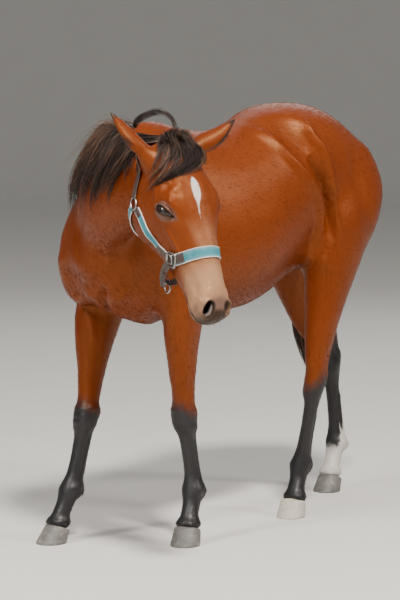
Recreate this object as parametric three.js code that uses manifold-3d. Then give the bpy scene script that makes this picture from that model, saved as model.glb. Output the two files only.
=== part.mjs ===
// A young bay horse standing square to its weight with the head turned to its left, in a halter.
// Millimetres, +Z up, +X the way the horse faces, +Y its left. The floor is z = 0.
// Flesh is one solid made of lofts along named stations, then parted into nodes by thin cuts.
import * as THREE from "three";
import Module from "manifold-3d";

const wasm = await Module();
wasm.setup();

// ---- sizes that drive the rest -------------------------------------------------------------
const CUT = 0.4; // gap left between two nodes
const FETLOCK_Z = 175; // height of the fetlock joints
const KNEE_Z = 409;
const HOCK_Z = 492;
const HOOF_H = 74; // height of the hoof wall at the toe
const TOE_ANGLE = 51 * (Math.PI / 180);
const EYE_R = 23;
const EAR_LEN = 166;
const STRAP_W = 25; // cheek straps of the halter
const NOSE_W = 36; // padded noseband
const STRAP_T = 3.2;

// ---- small maths ---------------------------------------------------------------------------
const add = (a, b, k = 1) => a.map((v, i) => v + k * b[i]);
const mul = (a, k) => a.map((v) => v * k);
const dot = (a, b) => a[0] * b[0] + a[1] * b[1] + a[2] * b[2];
const cross = (a, b) => [a[1] * b[2] - a[2] * b[1], a[2] * b[0] - a[0] * b[2], a[0] * b[1] - a[1] * b[0]];
const unit = (a) => mul(a, 1 / Math.hypot(...a));
const mix = (a, b, t) => a.map((v, i) => v + (b[i] - v) * t);
const clamp = (t, lo = 0, hi = 1) => Math.min(hi, Math.max(lo, t));
const smooth = (t) => clamp(t) ** 2 * (3 - 2 * clamp(t));
const bell = (x, mid, half) => Math.exp(-(((x - mid) / half) ** 2));
const pow = (v, e) => Math.sign(v) * Math.abs(v) ** e;

// Rows of numbers keyed by their first value, read at x by a cubic through them.
function table(rows, x) {
  const n = rows.length;
  let i = 0;
  while (i < n - 2 && x > rows[i + 1][0]) i++;
  const [p, q] = [rows[i], rows[i + 1]];
  const h = q[0] - p[0];
  const t = clamp((x - p[0]) / h);
  const slope = (k, c) => {
    const lo = rows[Math.max(0, k - 1)];
    const hi = rows[Math.min(n - 1, k + 1)];
    return (hi[c] - lo[c]) / (hi[0] - lo[0]);
  };
  return p.map((v, c) => {
    if (c === 0) return x;
    const [m0, m1] = [slope(i, c) * h, slope(i + 1, c) * h];
    const [t2, t3] = [t * t, t * t * t];
    return v * (2 * t3 - 3 * t2 + 1) + m0 * (t3 - 2 * t2 + t) + q[c] * (3 * t2 - 2 * t3) + m1 * (t3 - t2);
  });
}

const steps = (from, to, n) => Array.from({ length: n + 1 }, (_, i) => from + ((to - from) * i) / n);

// ---- solids --------------------------------------------------------------------------------
// Rings of points, joined and capped. Every ring has the same count.
function loft(rings) {
  const m = rings[0].length;
  const pts = rings.flat();
  const tris = [];
  for (let r = 0; r + 1 < rings.length; r++)
    for (let k = 0; k < m; k++) {
      const [a, b] = [r * m + k, r * m + ((k + 1) % m)];
      tris.push([a, b, b + m], [a, b + m, a + m]);
    }
  for (const [r, flip] of [[0, true], [rings.length - 1, false]]) {
    const c = pts.length;
    pts.push(mul(rings[r].reduce((s, p) => add(s, p), [0, 0, 0]), 1 / m));
    for (let k = 0; k < m; k++) {
      const [a, b] = [r * m + k, r * m + ((k + 1) % m)];
      tris.push(flip ? [c, b, a] : [c, a, b]);
    }
  }
  return solid(pts, tris);
}

function solid(pts, tris) {
  const make = (list) =>
    new wasm.Manifold(
      new wasm.Mesh({
        numProp: 3,
        vertProperties: new Float32Array(pts.flat()),
        triVerts: new Uint32Array(list.flat()),
      }),
    );
  const s = make(tris);
  return s.volume() < 0 ? make(tris.map(([a, b, c]) => [a, c, b])) : s;
}

const union = (list) => list.reduce((s, x) => s.add(x));
const keep = (s, n, off) => s.trimByPlane(n, off);

// A box given by its centre, three half axes (vectors) and a growth in mm.
function block(c, ax, ay, az, grow = 0) {
  const e = [ax, ay, az].map((v) => mul(v, 1 + grow / Math.hypot(...v)));
  const p = [];
  for (const i of [-1, 1]) for (const j of [-1, 1]) for (const k of [-1, 1])
    p.push(add(add(add(c, e[0], i), e[1], j), e[2], k));
  const f = [[0, 1, 3, 2], [4, 6, 7, 5], [0, 4, 5, 1], [2, 3, 7, 6], [0, 2, 6, 4], [1, 5, 7, 3]];
  return solid(p, f.flatMap(([a, b, d, g]) => [[a, b, d], [a, d, g]]));
}

// An egg-shaped section: half width w at height mid, top and bottom each with its own roundness.
function egg(angle, top, bot, w, mid, pt, pb) {
  const [s, c] = [Math.sin(angle), Math.cos(angle)];
  const p = c >= 0 ? pt : pb;
  return [w * pow(s, 2 / p), mid + (c >= 0 ? top - mid : mid - bot) * pow(c, 2 / p)];
}

// ---- trunk ---------------------------------------------------------------------------------
// x, top, bottom, half width, height of the widest point, roundness above, roundness below
const TRUNK = [
  [-1046, 1205, 1060, 60, 1135, 2.0, 2.0],
  [-1020, 1268, 1000, 118, 1135, 2.0, 2.0],
  [-960, 1332, 930, 172, 1140, 2.0, 2.0],
  [-880, 1380, 890, 208, 1150, 2.0, 2.0],
  [-790, 1415, 870, 226, 1170, 2.1, 2.0],
  [-700, 1430, 850, 232, 1190, 2.25, 2.0],
  [-600, 1424, 805, 228, 1190, 2.35, 2.0],
  [-500, 1396, 768, 228, 1080, 2.1, 2.1],
  [-400, 1362, 740, 242, 1030, 1.9, 2.15],
  [-290, 1342, 728, 244, 1010, 1.8, 2.2],
  [-170, 1350, 724, 228, 1000, 1.7, 2.2],
  [-70, 1372, 726, 203, 990, 1.6, 2.1],
  [10, 1385, 732, 188, 980, 1.5, 2.1],
  [90, 1360, 742, 178, 975, 1.6, 2.1],
  [160, 1295, 758, 178, 975, 1.8, 2.1],
  [220, 1205, 785, 168, 975, 2.0, 2.1],
  [270, 1120, 825, 142, 970, 2.0, 2.0],
  [300, 1060, 865, 100, 968, 2.0, 2.0],
  [316, 1010, 915, 45, 965, 2.0, 2.0],
];
const TRUNK_SIDES = 22;
const trunkRing = (x, g) => {
  const [, top, bot, w, mid, pt, pb] = table(TRUNK, x);
  return steps(0, 2 * Math.PI, TRUNK_SIDES).slice(0, TRUNK_SIDES).map((t) => {
    const [y, z] = egg(t, top + g, bot - g, w + g, mid, pt, pb);
    return [x, y, z];
  });
};
const trunkSolid = (g) => loft(steps(-1046 - g, 316 + g, 19).map((x) => trunkRing(x, g)));

// ---- neck ----------------------------------------------------------------------------------
// t, centre x y z, heading of the neck (degrees left of +X), rise (degrees), half depth up, half depth
// down, half width
const NECK = [
  [0.0, 60, 0, 1110, 0, 12, 250, 280, 158],
  [0.25, 172, 14, 1130, 18, 14, 222, 240, 130],
  [0.5, 270, 86, 1165, 46, 13, 188, 188, 98],
  [0.75, 328, 210, 1198, 72, 10, 148, 150, 78],
  [0.92, 348, 322, 1216, 82, 6, 118, 124, 70],
  [1.0, 352, 382, 1220, 84, 2, 104, 112, 68],
];
const neckFrame = (t) => {
  const [, x, y, z, h, e, up, dn, w] = table(NECK, t);
  const [ch, sh, ce, se] = [h, h, e, e].map((d, i) => (i % 2 ? Math.sin : Math.cos)((d * Math.PI) / 180));
  const [fwd, left] = [[ch * ce, sh * ce, se], [-sh, ch, 0]];
  return { c: [x, y, z], fwd, left, up: [-ch * se, -sh * se, ce], u: up, d: dn, w };
};
const neckPoint = (t, ang, g) => {
  const f = neckFrame(t);
  const [s, u] = egg(ang, f.u + g, -f.d - g, f.w + g, -0.15 * f.d, 1.75, 2.0);
  return add(add(f.c, f.left, s), f.up, u);
};
const around = (n) => steps(0, 2 * Math.PI, n).slice(0, n);
const neckSolid = (g) => loft(steps(0, 1, 12).map((t) => around(20).map((a) => neckPoint(t, a, g))));

// ---- head ----------------------------------------------------------------------------------
// The head's own frame: a down the nose, n out of the forehead, s to the horse's left.
const POLL = [364, 458, 1322];
const HEAD_A = unit([0.125, 0.45, -0.884]);
const FACE = [0.0925, 0.88, 0.466];
const HEAD_N = unit(add(FACE, HEAD_A, -dot(FACE, HEAD_A)));
const HEAD_S = mul(cross(HEAD_A, HEAD_N), -1);
const onHead = ([a, n, s]) => add(add(add(POLL, HEAD_A, a), HEAD_N, n), HEAD_S, s);
const headTurn = ([a, n, s]) => add(add(mul(HEAD_A, a), HEAD_N, n), HEAD_S, s);
// a, top, bottom, half width, n of the widest point, roundness above, roundness below
const HEAD = [
  [-30, 2, -95, 52, -45, 2.0, 2.0],
  [0, 22, -138, 72, -45, 2.0, 2.0],
  [50, 37, -200, 86, -45, 2.0, 2.1],
  [100, 47, -236, 94, -36, 2.1, 2.25],
  [150, 52, -246, 101, -22, 2.3, 2.2],
  [195, 51, -240, 102, -16, 2.4, 2.1],
  [245, 46, -216, 89, -28, 2.2, 2.0],
  [295, 41, -186, 73, -40, 2.0, 2.0],
  [345, 36, -160, 61, -45, 2.0, 2.0],
  [400, 30, -139, 54, -45, 2.0, 2.1],
  [450, 24, -124, 51, -42, 2.1, 2.2],
  [488, 16, -120, 55, -38, 2.2, 2.2],
  [516, 5, -116, 56, -38, 2.3, 2.2],
  [540, -7, -102, 50, -46, 2.3, 2.2],
  [555, -21, -86, 37, -50, 2.2, 2.1],
  [563, -38, -68, 16, -52, 2.0, 2.0],
];
const headPoint = (a, ang, g) => {
  const [, top, bot, w, mid, pt, pb] = table(HEAD, a);
  const [s, n] = egg(ang, top + g, bot - g, w + g, mid, pt, pb);
  return onHead([a, n, s]);
};
const HEAD_ROWS = [
  -30, -5, 30, 70, 110, 150, 190, 225, 260, 300, 345, 390, 430, 465, 493, 518, 538, 553, 563,
];
const HEAD_SIDES = 20;
const headSolid = (g) =>
  loft(HEAD_ROWS.map((a, i) => {
    const end = i === 0 ? -g : i === HEAD_ROWS.length - 1 ? g : 0;
    return around(HEAD_SIDES).map((ang) => {
      const p = headPoint(a, ang, g);
      return add(p, HEAD_A, end);
    });
  }));

// ---- egg-shaped muscles and bony points ----------------------------------------------------
// from one point to another, radii at both ends, and how flat it is sideways
function muscle(p, q, rp, rq, flat, side, g, n = 12) {
  const d = unit(add(q, p, -1));
  const s = unit(add(side, d, -dot(side, d)));
  const o = cross(d, s);
  const len = Math.hypot(...add(q, p, -1));
  const rows = steps(-Math.PI / 2, Math.PI / 2, 8).slice(1, -1);
  const mid = (rp + rq) / 2;
  return loft(rows.map((b) => {
    const x = Math.sin(b);
    const r = (rp + ((rq - rp) * (x + 1)) / 2) * Math.cos(b) + g;
    const c = add(mix(p, q, 0.5), d, x * (len / 2 + mid * 0.6 + g));
    return around(n).map((t) => add(add(c, s, Math.cos(t) * (r * flat)), o, Math.sin(t) * r));
  }));
}

// ---- legs ----------------------------------------------------------------------------------
// A horizontal section: centre, reach forward, back and to each side, turned by yaw.
const slice = (z, cx, cy, f, b, w, yaw, n = 12, p = 2.15) =>
  around(n).map((t) => {
    const [c, s] = [Math.cos(t), Math.sin(t)];
    const u = (c > 0 ? f : b) * pow(c, 2 / p);
    const v = w * pow(s, 2 / p);
    return [cx + u * Math.cos(yaw) - v * Math.sin(yaw), cy + u * Math.sin(yaw) + v * Math.cos(yaw), z];
  });

// Each leg: joint centres, yaw of the foot.
const rad = (d) => (d * Math.PI) / 180;
const FORE = {
  left: {
    side: 1, swell: 0, breast: [200, 76, 958], arm: [92, 112, 820], top: [60, 150, 1010],
    elbow: [12, 158, 790],
    knee: [-29, 127, KNEE_Z], fet: [-54, 149, FETLOCK_Z], hoof: [24, 182, 0], yaw: rad(24),
  },
  right: {
    side: -1, swell: 0.16, breast: [216, -99, 958], arm: [172, -122, 826], top: [90, -150, 1010],
    elbow: [56, -158, 785], knee: [160, -137, KNEE_Z], fet: [211, -158, FETLOCK_Z], hoof: [290, -170, 0],
    yaw: rad(-8),
  },
};
// s runs 0 top, 1 elbow, 2 knee, 3 fetlock, 4 hoof; then shift forward, reach f, reach b, half width
const FORE_ROWS = [
  [0.0, 0, 110, 120, 40],
  [0.4, 0, 118, 128, 52],
  [0.8, 0, 92, 112, 62],
  [1.0, 0, 78, 98, 62],
  [1.15, 2, 72, 78, 58],
  [1.35, 3, 62, 58, 51],
  [1.6, 2, 49, 45, 42],
  [1.82, 0, 39, 38, 36],
  [1.94, 0, 39, 38, 39],
  [2.05, 0, 39, 40, 40],
  [2.16, -2, 34, 36, 35],
  [2.3, -3, 29, 31, 27],
  [2.55, -3, 27, 31, 25],
  [2.78, -3, 28, 33, 26],
  [2.92, 0, 34, 38, 32],
  [3.02, 0, 37, 42, 36],
  [3.14, 0, 34, 40, 34],
  [3.3, 2, 30, 32, 29],
  [3.48, 4, 30, 30, 29],
  [3.62, 4, 38, 34, 36],
  [3.74, 2, 46, 38, 43],
];
const HIND = {
  left: {
    side: 1, hock: [-656, 172, HOCK_Z], fet: [-664, 100, FETLOCK_Z], hoof: [-584, 122, 0], yaw: rad(22),
  },
  right: {
    side: -1, hock: [-1110, -141, HOCK_Z], fet: [-1136, -123, FETLOCK_Z], hoof: [-1056, -103, 0],
    yaw: rad(10),
  },
};
// Thigh and gaskin by height: front x, back x, inner y, outer y
const THIGH = {
  left: [
    [HOCK_Z - 26, -620, -702, 146, 198],
    [HOCK_Z + 18, -608, -706, 142, 204],
    [560, -612, -714, 138, 208],
    [640, -618, -742, 124, 218],
    [720, -628, -776, 112, 228],
    [800, -636, -824, 94, 236],
    [880, -636, -880, 70, 245],
    [960, -630, -946, 38, 252],
    [1050, -626, -1004, 18, 252],
    [1140, -628, -1036, 14, 233],
    [1230, -654, -1008, 18, 204],
    [1300, -700, -960, 30, 168],
    [1340, -740, -900, 50, 120],
  ],
  right: [
    [HOCK_Z - 26, -1080, -1158, -166, -116],
    [HOCK_Z + 18, -1046, -1162, -174, -108],
    [560, -972, -1150, -178, -106],
    [640, -904, -1130, -190, -98],
    [720, -856, -1112, -206, -84],
    [800, -802, -1100, -224, -66],
    [880, -756, -1092, -240, -46],
    [960, -718, -1084, -248, -30],
    [1050, -686, -1066, -250, -18],
    [1140, -660, -1040, -240, -14],
    [1230, -660, -1008, -212, -18],
    [1300, -700, -960, -168, -30],
    [1340, -740, -900, -120, -50],
  ],
};
const HIND_ROWS = [
  [1.98, 0, 44, 58, 33],
  [2.08, 0, 44, 54, 35],
  [2.2, 0, 37, 44, 31],
  [2.34, -2, 29, 34, 25],
  [2.55, -2, 26, 31, 23],
  [2.8, -1, 28, 33, 25],
  [2.92, 0, 34, 38, 31],
  [3.02, 0, 37, 42, 36],
  [3.14, 0, 34, 40, 34],
  [3.3, 2, 30, 32, 29],
  [3.48, 4, 30, 30, 29],
  [3.62, 4, 38, 34, 36],
  [3.74, 2, 46, 38, 43],
];
const jointAt = (pts, s) => {
  const i = Math.min(pts.length - 2, Math.floor(s));
  return mix(pts[i], pts[Math.min(pts.length - 1, i + 1)], s - i);
};
function legRings(pts, rows, yawEnd, g, swell = 0) {
  return rows.map(([s, dx, f0, b0, w0]) => {
    const p = jointAt(pts, s);
    const [f, b, w] = [f0, b0, w0].map((v) => v * (1 + swell * bell(s, 1.05, 0.35)));
    const yaw = yawEnd * smooth((s - 1.5) / 2);
    return slice(p[2], p[0] + dx * Math.cos(yaw), p[1] + dx * Math.sin(yaw), f + g, b + g, w + g, yaw);
  });
}
const foreSolid = (L, g) =>
  loft(legRings([L.top, L.elbow, L.knee, L.fet, L.hoof], FORE_ROWS, L.yaw, g, L.swell));
function hindSolid(side, g) {
  const L = HIND[side];
  const line = [add(L.hock, [0, 0, 800]), add(L.hock, [0, 0, 400]), L.hock, L.fet, L.hoof];
  const lower = loft(legRings(line, HIND_ROWS, L.yaw, g));
  const rows = THIGH[side];
  const upper = loft(
    steps(rows[0][0], rows[rows.length - 1][0], 12).map((z) => {
      const [, xf, xb, y0, y1] = table(rows, z);
      const [deep, half] = [(xf - xb) / 2 + g, Math.abs(y1 - y0) / 2 + g];
      return slice(z, (xf + xb) / 2, (y0 + y1) / 2, deep, deep, half, 0, 16);
    }),
  );
  return lower.add(upper);
}

// A hoof: a slanted cone with a flat sole on the floor and a coronet that falls to the heel.
const HOOF_F = 60; // reach of the toe ahead of the hoof's middle
const HOOF_B = 50;
const HOOF_W = 54;
const CORONET_FALL = rad(22);
function hoofSolid(L, g) {
  const back = 1 / Math.tan(TOE_ANGLE);
  const h = HOOF_H + 14;
  return loft(
    [0, 8, h * 0.5, h].map((z) => {
      const k = z / HOOF_H;
      const shift = -0.62 * back * z;
      const x = L.hoof[0] + shift * Math.cos(L.yaw);
      const y = L.hoof[1] + shift * Math.sin(L.yaw);
      const toe = HOOF_F - 0.38 * back * z + g;
      return slice(z, x, y, toe, HOOF_B - 5 * k + g, HOOF_W - 10 * k + g, L.yaw, 16, 2.1);
    }),
  );
}
// The coronet: a plane that falls from toe to heel.
function coronet(L) {
  const fall = Math.sin(CORONET_FALL);
  const n = [-fall * Math.cos(L.yaw), -fall * Math.sin(L.yaw), Math.cos(CORONET_FALL)];
  return { n, p: [L.hoof[0], L.hoof[1], HOOF_H - 10] };
}

// ---- all the flesh as one solid ------------------------------------------------------------
const out = [0, 1, 0];
const sphere = (c, r, n = 16) => wasm.Manifold.sphere(r, n).translate(c);
function bulk() {
  const parts = [trunkSolid(0), neckSolid(0)];
  for (const L of [FORE.left, FORE.right]) {
    const k = L.side;
    const fwd = L.elbow[0];
    parts.push(muscle([56, 60 * k, 1268], [176 + fwd * 0.6, 106 * k, 1000], 78, 92, 0.8, out, 0, 12));
    parts.push(muscle([10, 108 * k, 1130], [fwd - 10, 134 * k, 850], 116, 88, 0.62, out, 0, 12));
    parts.push(muscle(L.breast, L.arm, 98, 82, 0.84, out, 0, 12));
  }
  return union(parts);
}
function limbs() {
  const parts = [
    headSolid(0), foreSolid(FORE.left, 0), foreSolid(FORE.right, 0),
    hindSolid("left", 0), hindSolid("right", 0),
  ];
  for (const k of [-1, 1])
    parts.push(muscle(onHead([172, 2, 72 * k]), onHead([214, -2, 75 * k]), 30, 27, 0.95, HEAD_N, 0, 12));
  return union(parts);
}
// The same solid with every corner moved out along its normal.
function grown(s, by) {
  const m = s.getMesh();
  const [n, v, f] = [m.numProp, m.vertProperties, m.triVerts];
  const at = (i) => [v[i * n], v[i * n + 1], v[i * n + 2]];
  const normals = Array.from({ length: m.numVert }, () => [0, 0, 0]);
  for (let i = 0; i < f.length; i += 3) {
    const [a, b, c] = [f[i], f[i + 1], f[i + 2]].map(at);
    const w = cross(add(b, a, -1), add(c, a, -1));
    for (const k of [f[i], f[i + 1], f[i + 2]]) normals[k] = add(normals[k], w);
  }
  const pts = normals.map((w, i) => add(at(i), unit(w), by));
  const tris = [];
  for (let i = 0; i < f.length; i += 3) tris.push([f[i], f[i + 1], f[i + 2]]);
  return solid(pts, tris);
}
const EYES = { left: [200, -16, 86], right: [211, -22, -85] };
const COARSE = 4; // how far a fold of the broad body may stand off its lofts
const SLIVER = 1.3;
const F = bulk()
  .simplify(COARSE)
  .add(limbs())
  .simplify(SLIVER)
  .subtract(sphere(onHead(EYES.left), EYE_R + CUT, 16))
  .subtract(sphere(onHead(EYES.right), EYE_R + CUT, 16))
  .subtract(muscle(onHead([500, -10, 56]), onHead([524, -32, 57]), 10, 11, 0.8, HEAD_S, 0, 8))
  .subtract(muscle(onHead([502, -12, -56]), onHead([526, -34, -57]), 10, 11, 0.8, HEAD_S, 0, 8));
const FG = grown(F, 1.1);

// ---- parting the flesh ---------------------------------------------------------------------
const COLOURS = {
  coat: 0x8a4a22, points: 0x2a211d, muzzle: 0x6b5348, hoof: 0x6d665d, hair: 0x3a2b22,
  eye: 0x1b130f, web: 0x3b7f84, leather: 0x5a4232, metal: 0xb9b9b4,
};
const FINISH = { metal: [1, 0.3], eye: [0, 0.1], hoof: [0, 0.6] };
const made = [];
const biggest = (s) => s.decompose().sort((p, q) => q.volume() - p.volume())[0];
const node = (name, s, colour) => made.push([name, biggest(s), colour]);
const plane = (n, p) => ({ n: unit(n), p });
const ahead = (s, { n, p }, gap = CUT / 2) => keep(s, unit(n), dot(unit(n), p) + gap);
const behind = (s, { n, p }, gap = CUT / 2) => keep(s, mul(unit(n), -1), -(dot(unit(n), p) - gap));

const throat = plane([0.1, 0.78, -0.5], onHead([48, -84, 0]));
const headRegion = (gap) =>
  ahead(block(onHead([290, -60, 0]), mul(HEAD_A, 340), mul(HEAD_N, 230), mul(HEAD_S, 170)), throat, gap);
const neckBase = plane([0.83, 0.1, 0.55], [180, 0, 1190]);
const head = F.intersect(headRegion(CUT / 2));
const headless = F.subtract(headRegion(-CUT / 2));
const neck = ahead(headless, neckBase);
let body = behind(headless, neckBase);
node("head", head, "coat");
node("neck", neck, "coat");

// A leg's upper end: all that lies under a plane which rises outwards, on the leg's own side.
function legCut(k, z0, rise, x0, x1, gap) {
  const half = [[(x1 - x0) / 2 - gap, 0, 0], [0, 200 - gap, 0], [0, 0, 700]];
  const big = block([(x0 + x1) / 2, k * 200, 500], ...half);
  return behind(big, plane([0, -k * rise, 1], [0, 0, z0]), gap);
}
const legs = [
  ["foreleg_left", 1, 713, 0.5, -260, 520, KNEE_Z - 6, FORE.left],
  ["foreleg_right", -1, 713, 0.5, -260, 520, KNEE_Z - 6, FORE.right],
  ["hindleg_left", 1, 846, 0.36, -1300, -588, HOCK_Z - 34, HIND.left],
  ["hindleg_right", -1, 846, 0.36, -1300, -588, HOCK_Z - 34, HIND.right],
];
for (const [name, k, z0, rise, x0, x1, joint, L] of legs) {
  const leg = behind(body.intersect(legCut(k, z0, rise, x0, x1, CUT / 2)), plane([0, 0, 1], [0, 0, 9000]));
  const cor = coronet(L);
  const whole = ahead(biggest(leg), cor);
  node(name + "_upper", ahead(whole, plane([0, 0, 1], [0, 0, joint])), "coat");
  node(name + "_lower", behind(whole, plane([0, 0, 1], [0, 0, joint])), "points");
  node("hoof_" + name.slice(0, 4) + name.slice(name.indexOf("_")), behind(hoofSolid(L, 0), cor), "hoof");
}
for (const [, k, z0, rise, x0, x1] of legs) body = body.subtract(legCut(k, z0, rise, x0, x1, -CUT / 2));
node("trunk", body, "coat");

// ---- eyes and ears -------------------------------------------------------------------------
for (const k of ["left", "right"]) node("eye_" + k, sphere(onHead(EYES[k]), EYE_R, 16), "eye");

// What is left outside the flesh, with the crumbs of the cut folded away.
const trimmed = (s) => biggest(s.subtract(FG)).simplify(0.35);

// An ear: a leaf that is cupped on its open side. Base, tip and the way it opens, on the head.
const EARS = {
  left: { base: [0, -50, 88], tip: [-81, 40, 229], open: [0.25, -0.8, 0.1] },
  right: { base: [2, -52, -86], tip: [-127, -45, -183], open: [0.1, -0.9, -0.25] },
};
function earSolid({ base, tip, open }) {
  const [p, q] = [onHead(base), onHead(tip)];
  const d = unit(add(q, p, -1));
  const o0 = headTurn(open);
  const o = unit(add(o0, d, -dot(o0, d)));
  const side = cross(d, o);
  const len = Math.hypot(...add(q, p, -1));
  // share of the length, half width, depth of the back
  const rows = [
    [-0.14, 21, 22], [0, 28, 27], [0.16, 32, 27], [0.36, 32, 22], [0.58, 26, 16], [0.78, 16, 10],
    [0.93, 7, 5], [1, 1.6, 1.6],
  ];
  const shell = loft(rows.map(([t, w, b]) => {
    const c = add(add(p, d, t * len), o, 7 * Math.sin(Math.PI * clamp(t)));
    return around(10).map((a) =>
      add(add(c, side, Math.cos(a) * w), o, Math.sin(a) * (Math.sin(a) > 0 ? 0.35 * b : b)));
  }));
  const cup = loft(rows.slice(1, -1).map(([t, w, b]) => {
    const c = add(add(p, d, (0.1 + t * 0.86) * len), o, 7 * Math.sin(Math.PI * clamp(t)) + 0.35 * b);
    return around(6).map((a) =>
      add(add(c, side, Math.cos(a) * w * 0.66), o, Math.sin(a) * b * (Math.sin(a) > 0 ? 1 : 0.72)));
  }));
  return shell.subtract(cup);
}
for (const k of ["left", "right"]) node("ear_" + k, trimmed(earSolid(EARS[k])), "coat");

// ---- hair ----------------------------------------------------------------------------------
// A sheet of hair that lies on a surface: outer arc, then inner arc back.
function lock(rows, at, end, inner = 0.6) {
  return loft(rows.map(([t, a0, a1, thick]) => {
    const arc = steps(a0, a1, 6);
    const fall = (a) => thick * (end + (1 - end) * (1 - (a - a0) / (a1 - a0)));
    return [...arc.map((a) => at(t, a, inner + fall(a))), ...arc.reverse().map((a) => at(t, a, inner - 6))];
  }));
}
const deg = (rows) => rows.map(([t, a0, a1, k]) => [t, rad(a0), rad(a1), k]);
const MANE = deg([
  [0.06, 6, -16, 10], [0.2, 9, -44, 18], [0.36, 11, -78, 26], [0.52, 12, -92, 32],
  [0.7, 12, -92, 30], [0.86, 12, -84, 26], [0.97, 12, -66, 20],
]);
const mane = trimmed(lock(MANE, neckPoint, 0.8));
const FORELOCK = deg([
  [-12, 16, -30, 14], [12, 20, -42, 18], [36, 14, -54, 17], [62, 0, -64, 14],
  [88, -18, -72, 12], [112, -38, -76, 10], [134, -58, -78, 7],
]);
const forelock = trimmed(lock(FORELOCK, headPoint, 0.45));

// The tail: a dock and its hair, carried over to the right.
const TAIL = [
  [0, -925, 0, 1318, 30, 28],
  [0.1, -1010, -6, 1312, 34, 32],
  [0.22, -1072, -34, 1250, 38, 44],
  [0.4, -1108, -100, 1100, 40, 56],
  [0.6, -1118, -182, 930, 38, 62],
  [0.8, -1096, -244, 760, 34, 60],
  [0.92, -1090, -256, 600, 30, 52],
  [1, -1104, -242, 450, 9, 16],
];
const tailSolid = loft(steps(0, 1, 11).map((t) => {
  const [, x, y, z, thick, wide] = table(TAIL, t);
  const q = table(TAIL, Math.min(1, t + 0.02));
  const p = table(TAIL, Math.max(0, t - 0.02));
  const d = unit([q[1] - p[1], q[2] - p[2], q[3] - p[3]]);
  const s = unit(cross(d, [1, 0, 0.2]));
  const o = cross(d, s);
  return around(10).map((a) => add(add([x, y, z], s, Math.cos(a) * wide), o, Math.sin(a) * thick));
}));
node("mane", mane, "hair");
node("forelock", forelock, "hair");
node("tail", trimmed(tailSolid), "hair");

// ---- halter --------------------------------------------------------------------------------
// A strap that follows the head: stops of [a, angle in degrees, lift], width, thickness.
function strap(stops, w, th, n) {
  const keyed = stops.map(([a, ang, lift], i) => [i / (stops.length - 1), a, rad(ang), lift]);
  const at = (t, g) => {
    const [, a, ang, lift] = table(keyed, clamp(t));
    return headPoint(a, ang, lift + g);
  };
  return loft(steps(0, 1, n).map((t) => {
    const [lo, hi] = [Math.max(0, t - 0.02), Math.min(1, t + 0.02)];
    const d = unit(add(at(hi, 0), at(lo, 0), -1));
    const up = add(at(t, 10), at(t, 0), -1);
    const nrm = unit(add(up, d, -dot(up, d)));
    const side = cross(nrm, d);
    const c = at(t, 0);
    return [[-1, 0], [1, 0], [1, 1], [-1, 1]].map(([u, v]) => add(add(c, side, (u * w) / 2), nrm, v * th));
  }));
}
// A metal ring: half sizes across and along, wire radius, squareness.
function ring(a, ang, lift, rw, rl, wire, p, n = 12) {
  const c = headPoint(a, rad(ang), lift);
  const nrm = unit(add(headPoint(a, rad(ang), lift + 10), c, -1));
  const d = unit(add(HEAD_A, nrm, -dot(HEAD_A, nrm)));
  const s = cross(nrm, d);
  const rings = around(n).map((t) => {
    const [x, y] = [Math.cos(t), Math.sin(t)];
    const at = (k) => [(rl + k) * pow(x, 2 / p), (rw + k) * pow(y, 2 / p)];
    return around(5).map((b) => {
      const [u, v] = at(wire * Math.cos(b));
      return add(add(add(c, d, u), s, v), nrm, wire * Math.sin(b));
    });
  });
  const pts = rings.flat();
  const tris = [];
  for (let r = 0; r < n; r++) for (let k = 0; k < 5; k++) {
    const q = (r + 1) % n;
    const l = (k + 1) % 5;
    tris.push([r * 5 + k, r * 5 + l, q * 5 + l], [r * 5 + k, q * 5 + l, q * 5 + k]);
  }
  return solid(pts, tris);
}
const halter = {};
for (const [side, k] of [["left", 1], ["right", -1]]) {
  halter["ring_cheek_" + side] = ring(118, 130 * k, 8, 15, 20, 3, 2.2);
  halter["ring_nose_" + side] = ring(334, 119 * k, 10, 17, 18, 3.2, 4);
  const cheek = [[142, 130 * k, 6], [195, 129 * k, 5.5], [250, 126 * k, 5.5], [312, 121 * k, 7]];
  halter["strap_cheek_" + side] = strap(cheek, STRAP_W, STRAP_T, 5);
}
const NOSE = [
  [337, -98, 7], [345, -70, 5], [352, -35, 4.5], [354, 0, 4.5], [352, 35, 4.5], [345, 70, 5], [337, 98, 7],
];
halter.noseband = strap(NOSE, NOSE_W, STRAP_T + 1.6, 12);
const CHIN = [[344, -141, 8], [356, -160, 28], [364, -180, 36], [356, -200, 28], [344, -219, 8]];
halter.strap_chin = strap(CHIN, 18, STRAP_T, 10);
halter.ring_chin = ring(366, 180, 64, 15, 20, 2.8, 2.2);
const THROAT = [[136, -152, 7], [152, -166, 8], [158, -180, 9], [152, -194, 8], [136, -208, 7]];
halter.strap_throat = strap(THROAT, STRAP_W, STRAP_T, 8);
// The crown piece goes from ring to ring behind the ears.
function crown() {
  const half = [
    [84, -176, 88], [55, -158, 97], [22, -132, 99], [-10, -110, 88], [-38, -80, 62], [-55, -50, 32],
  ];
  const other = half.map(([a, n, s]) => [a, n, -s]).reverse();
  const path = [...half, [-60, -38, 0], ...other].map((p) => onHead(p));
  const mid = onHead([20, -90, 0]);
  return loft(path.map((p, i) => {
    const d = unit(add(path[Math.min(path.length - 1, i + 1)], path[Math.max(0, i - 1)], -1));
    const up = add(p, mid, -1);
    const nrm = unit(add(up, d, -dot(up, d)));
    const side = cross(nrm, d);
    return [[-1, 0], [1, 0], [1, 1], [-1, 1]].map(([u, v]) =>
      add(add(p, side, (u * STRAP_W) / 2), nrm, v * STRAP_T));
  }));
}
halter.strap_crown = crown();
const WEB = new Set(["noseband", "strap_cheek_left", "strap_cheek_right", "strap_throat", "strap_crown"]);
for (const [name, s] of Object.entries(halter))
  node("halter_" + name, trimmed(s), name.startsWith("ring") ? "metal" : WEB.has(name) ? "web" : "leather");

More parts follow.
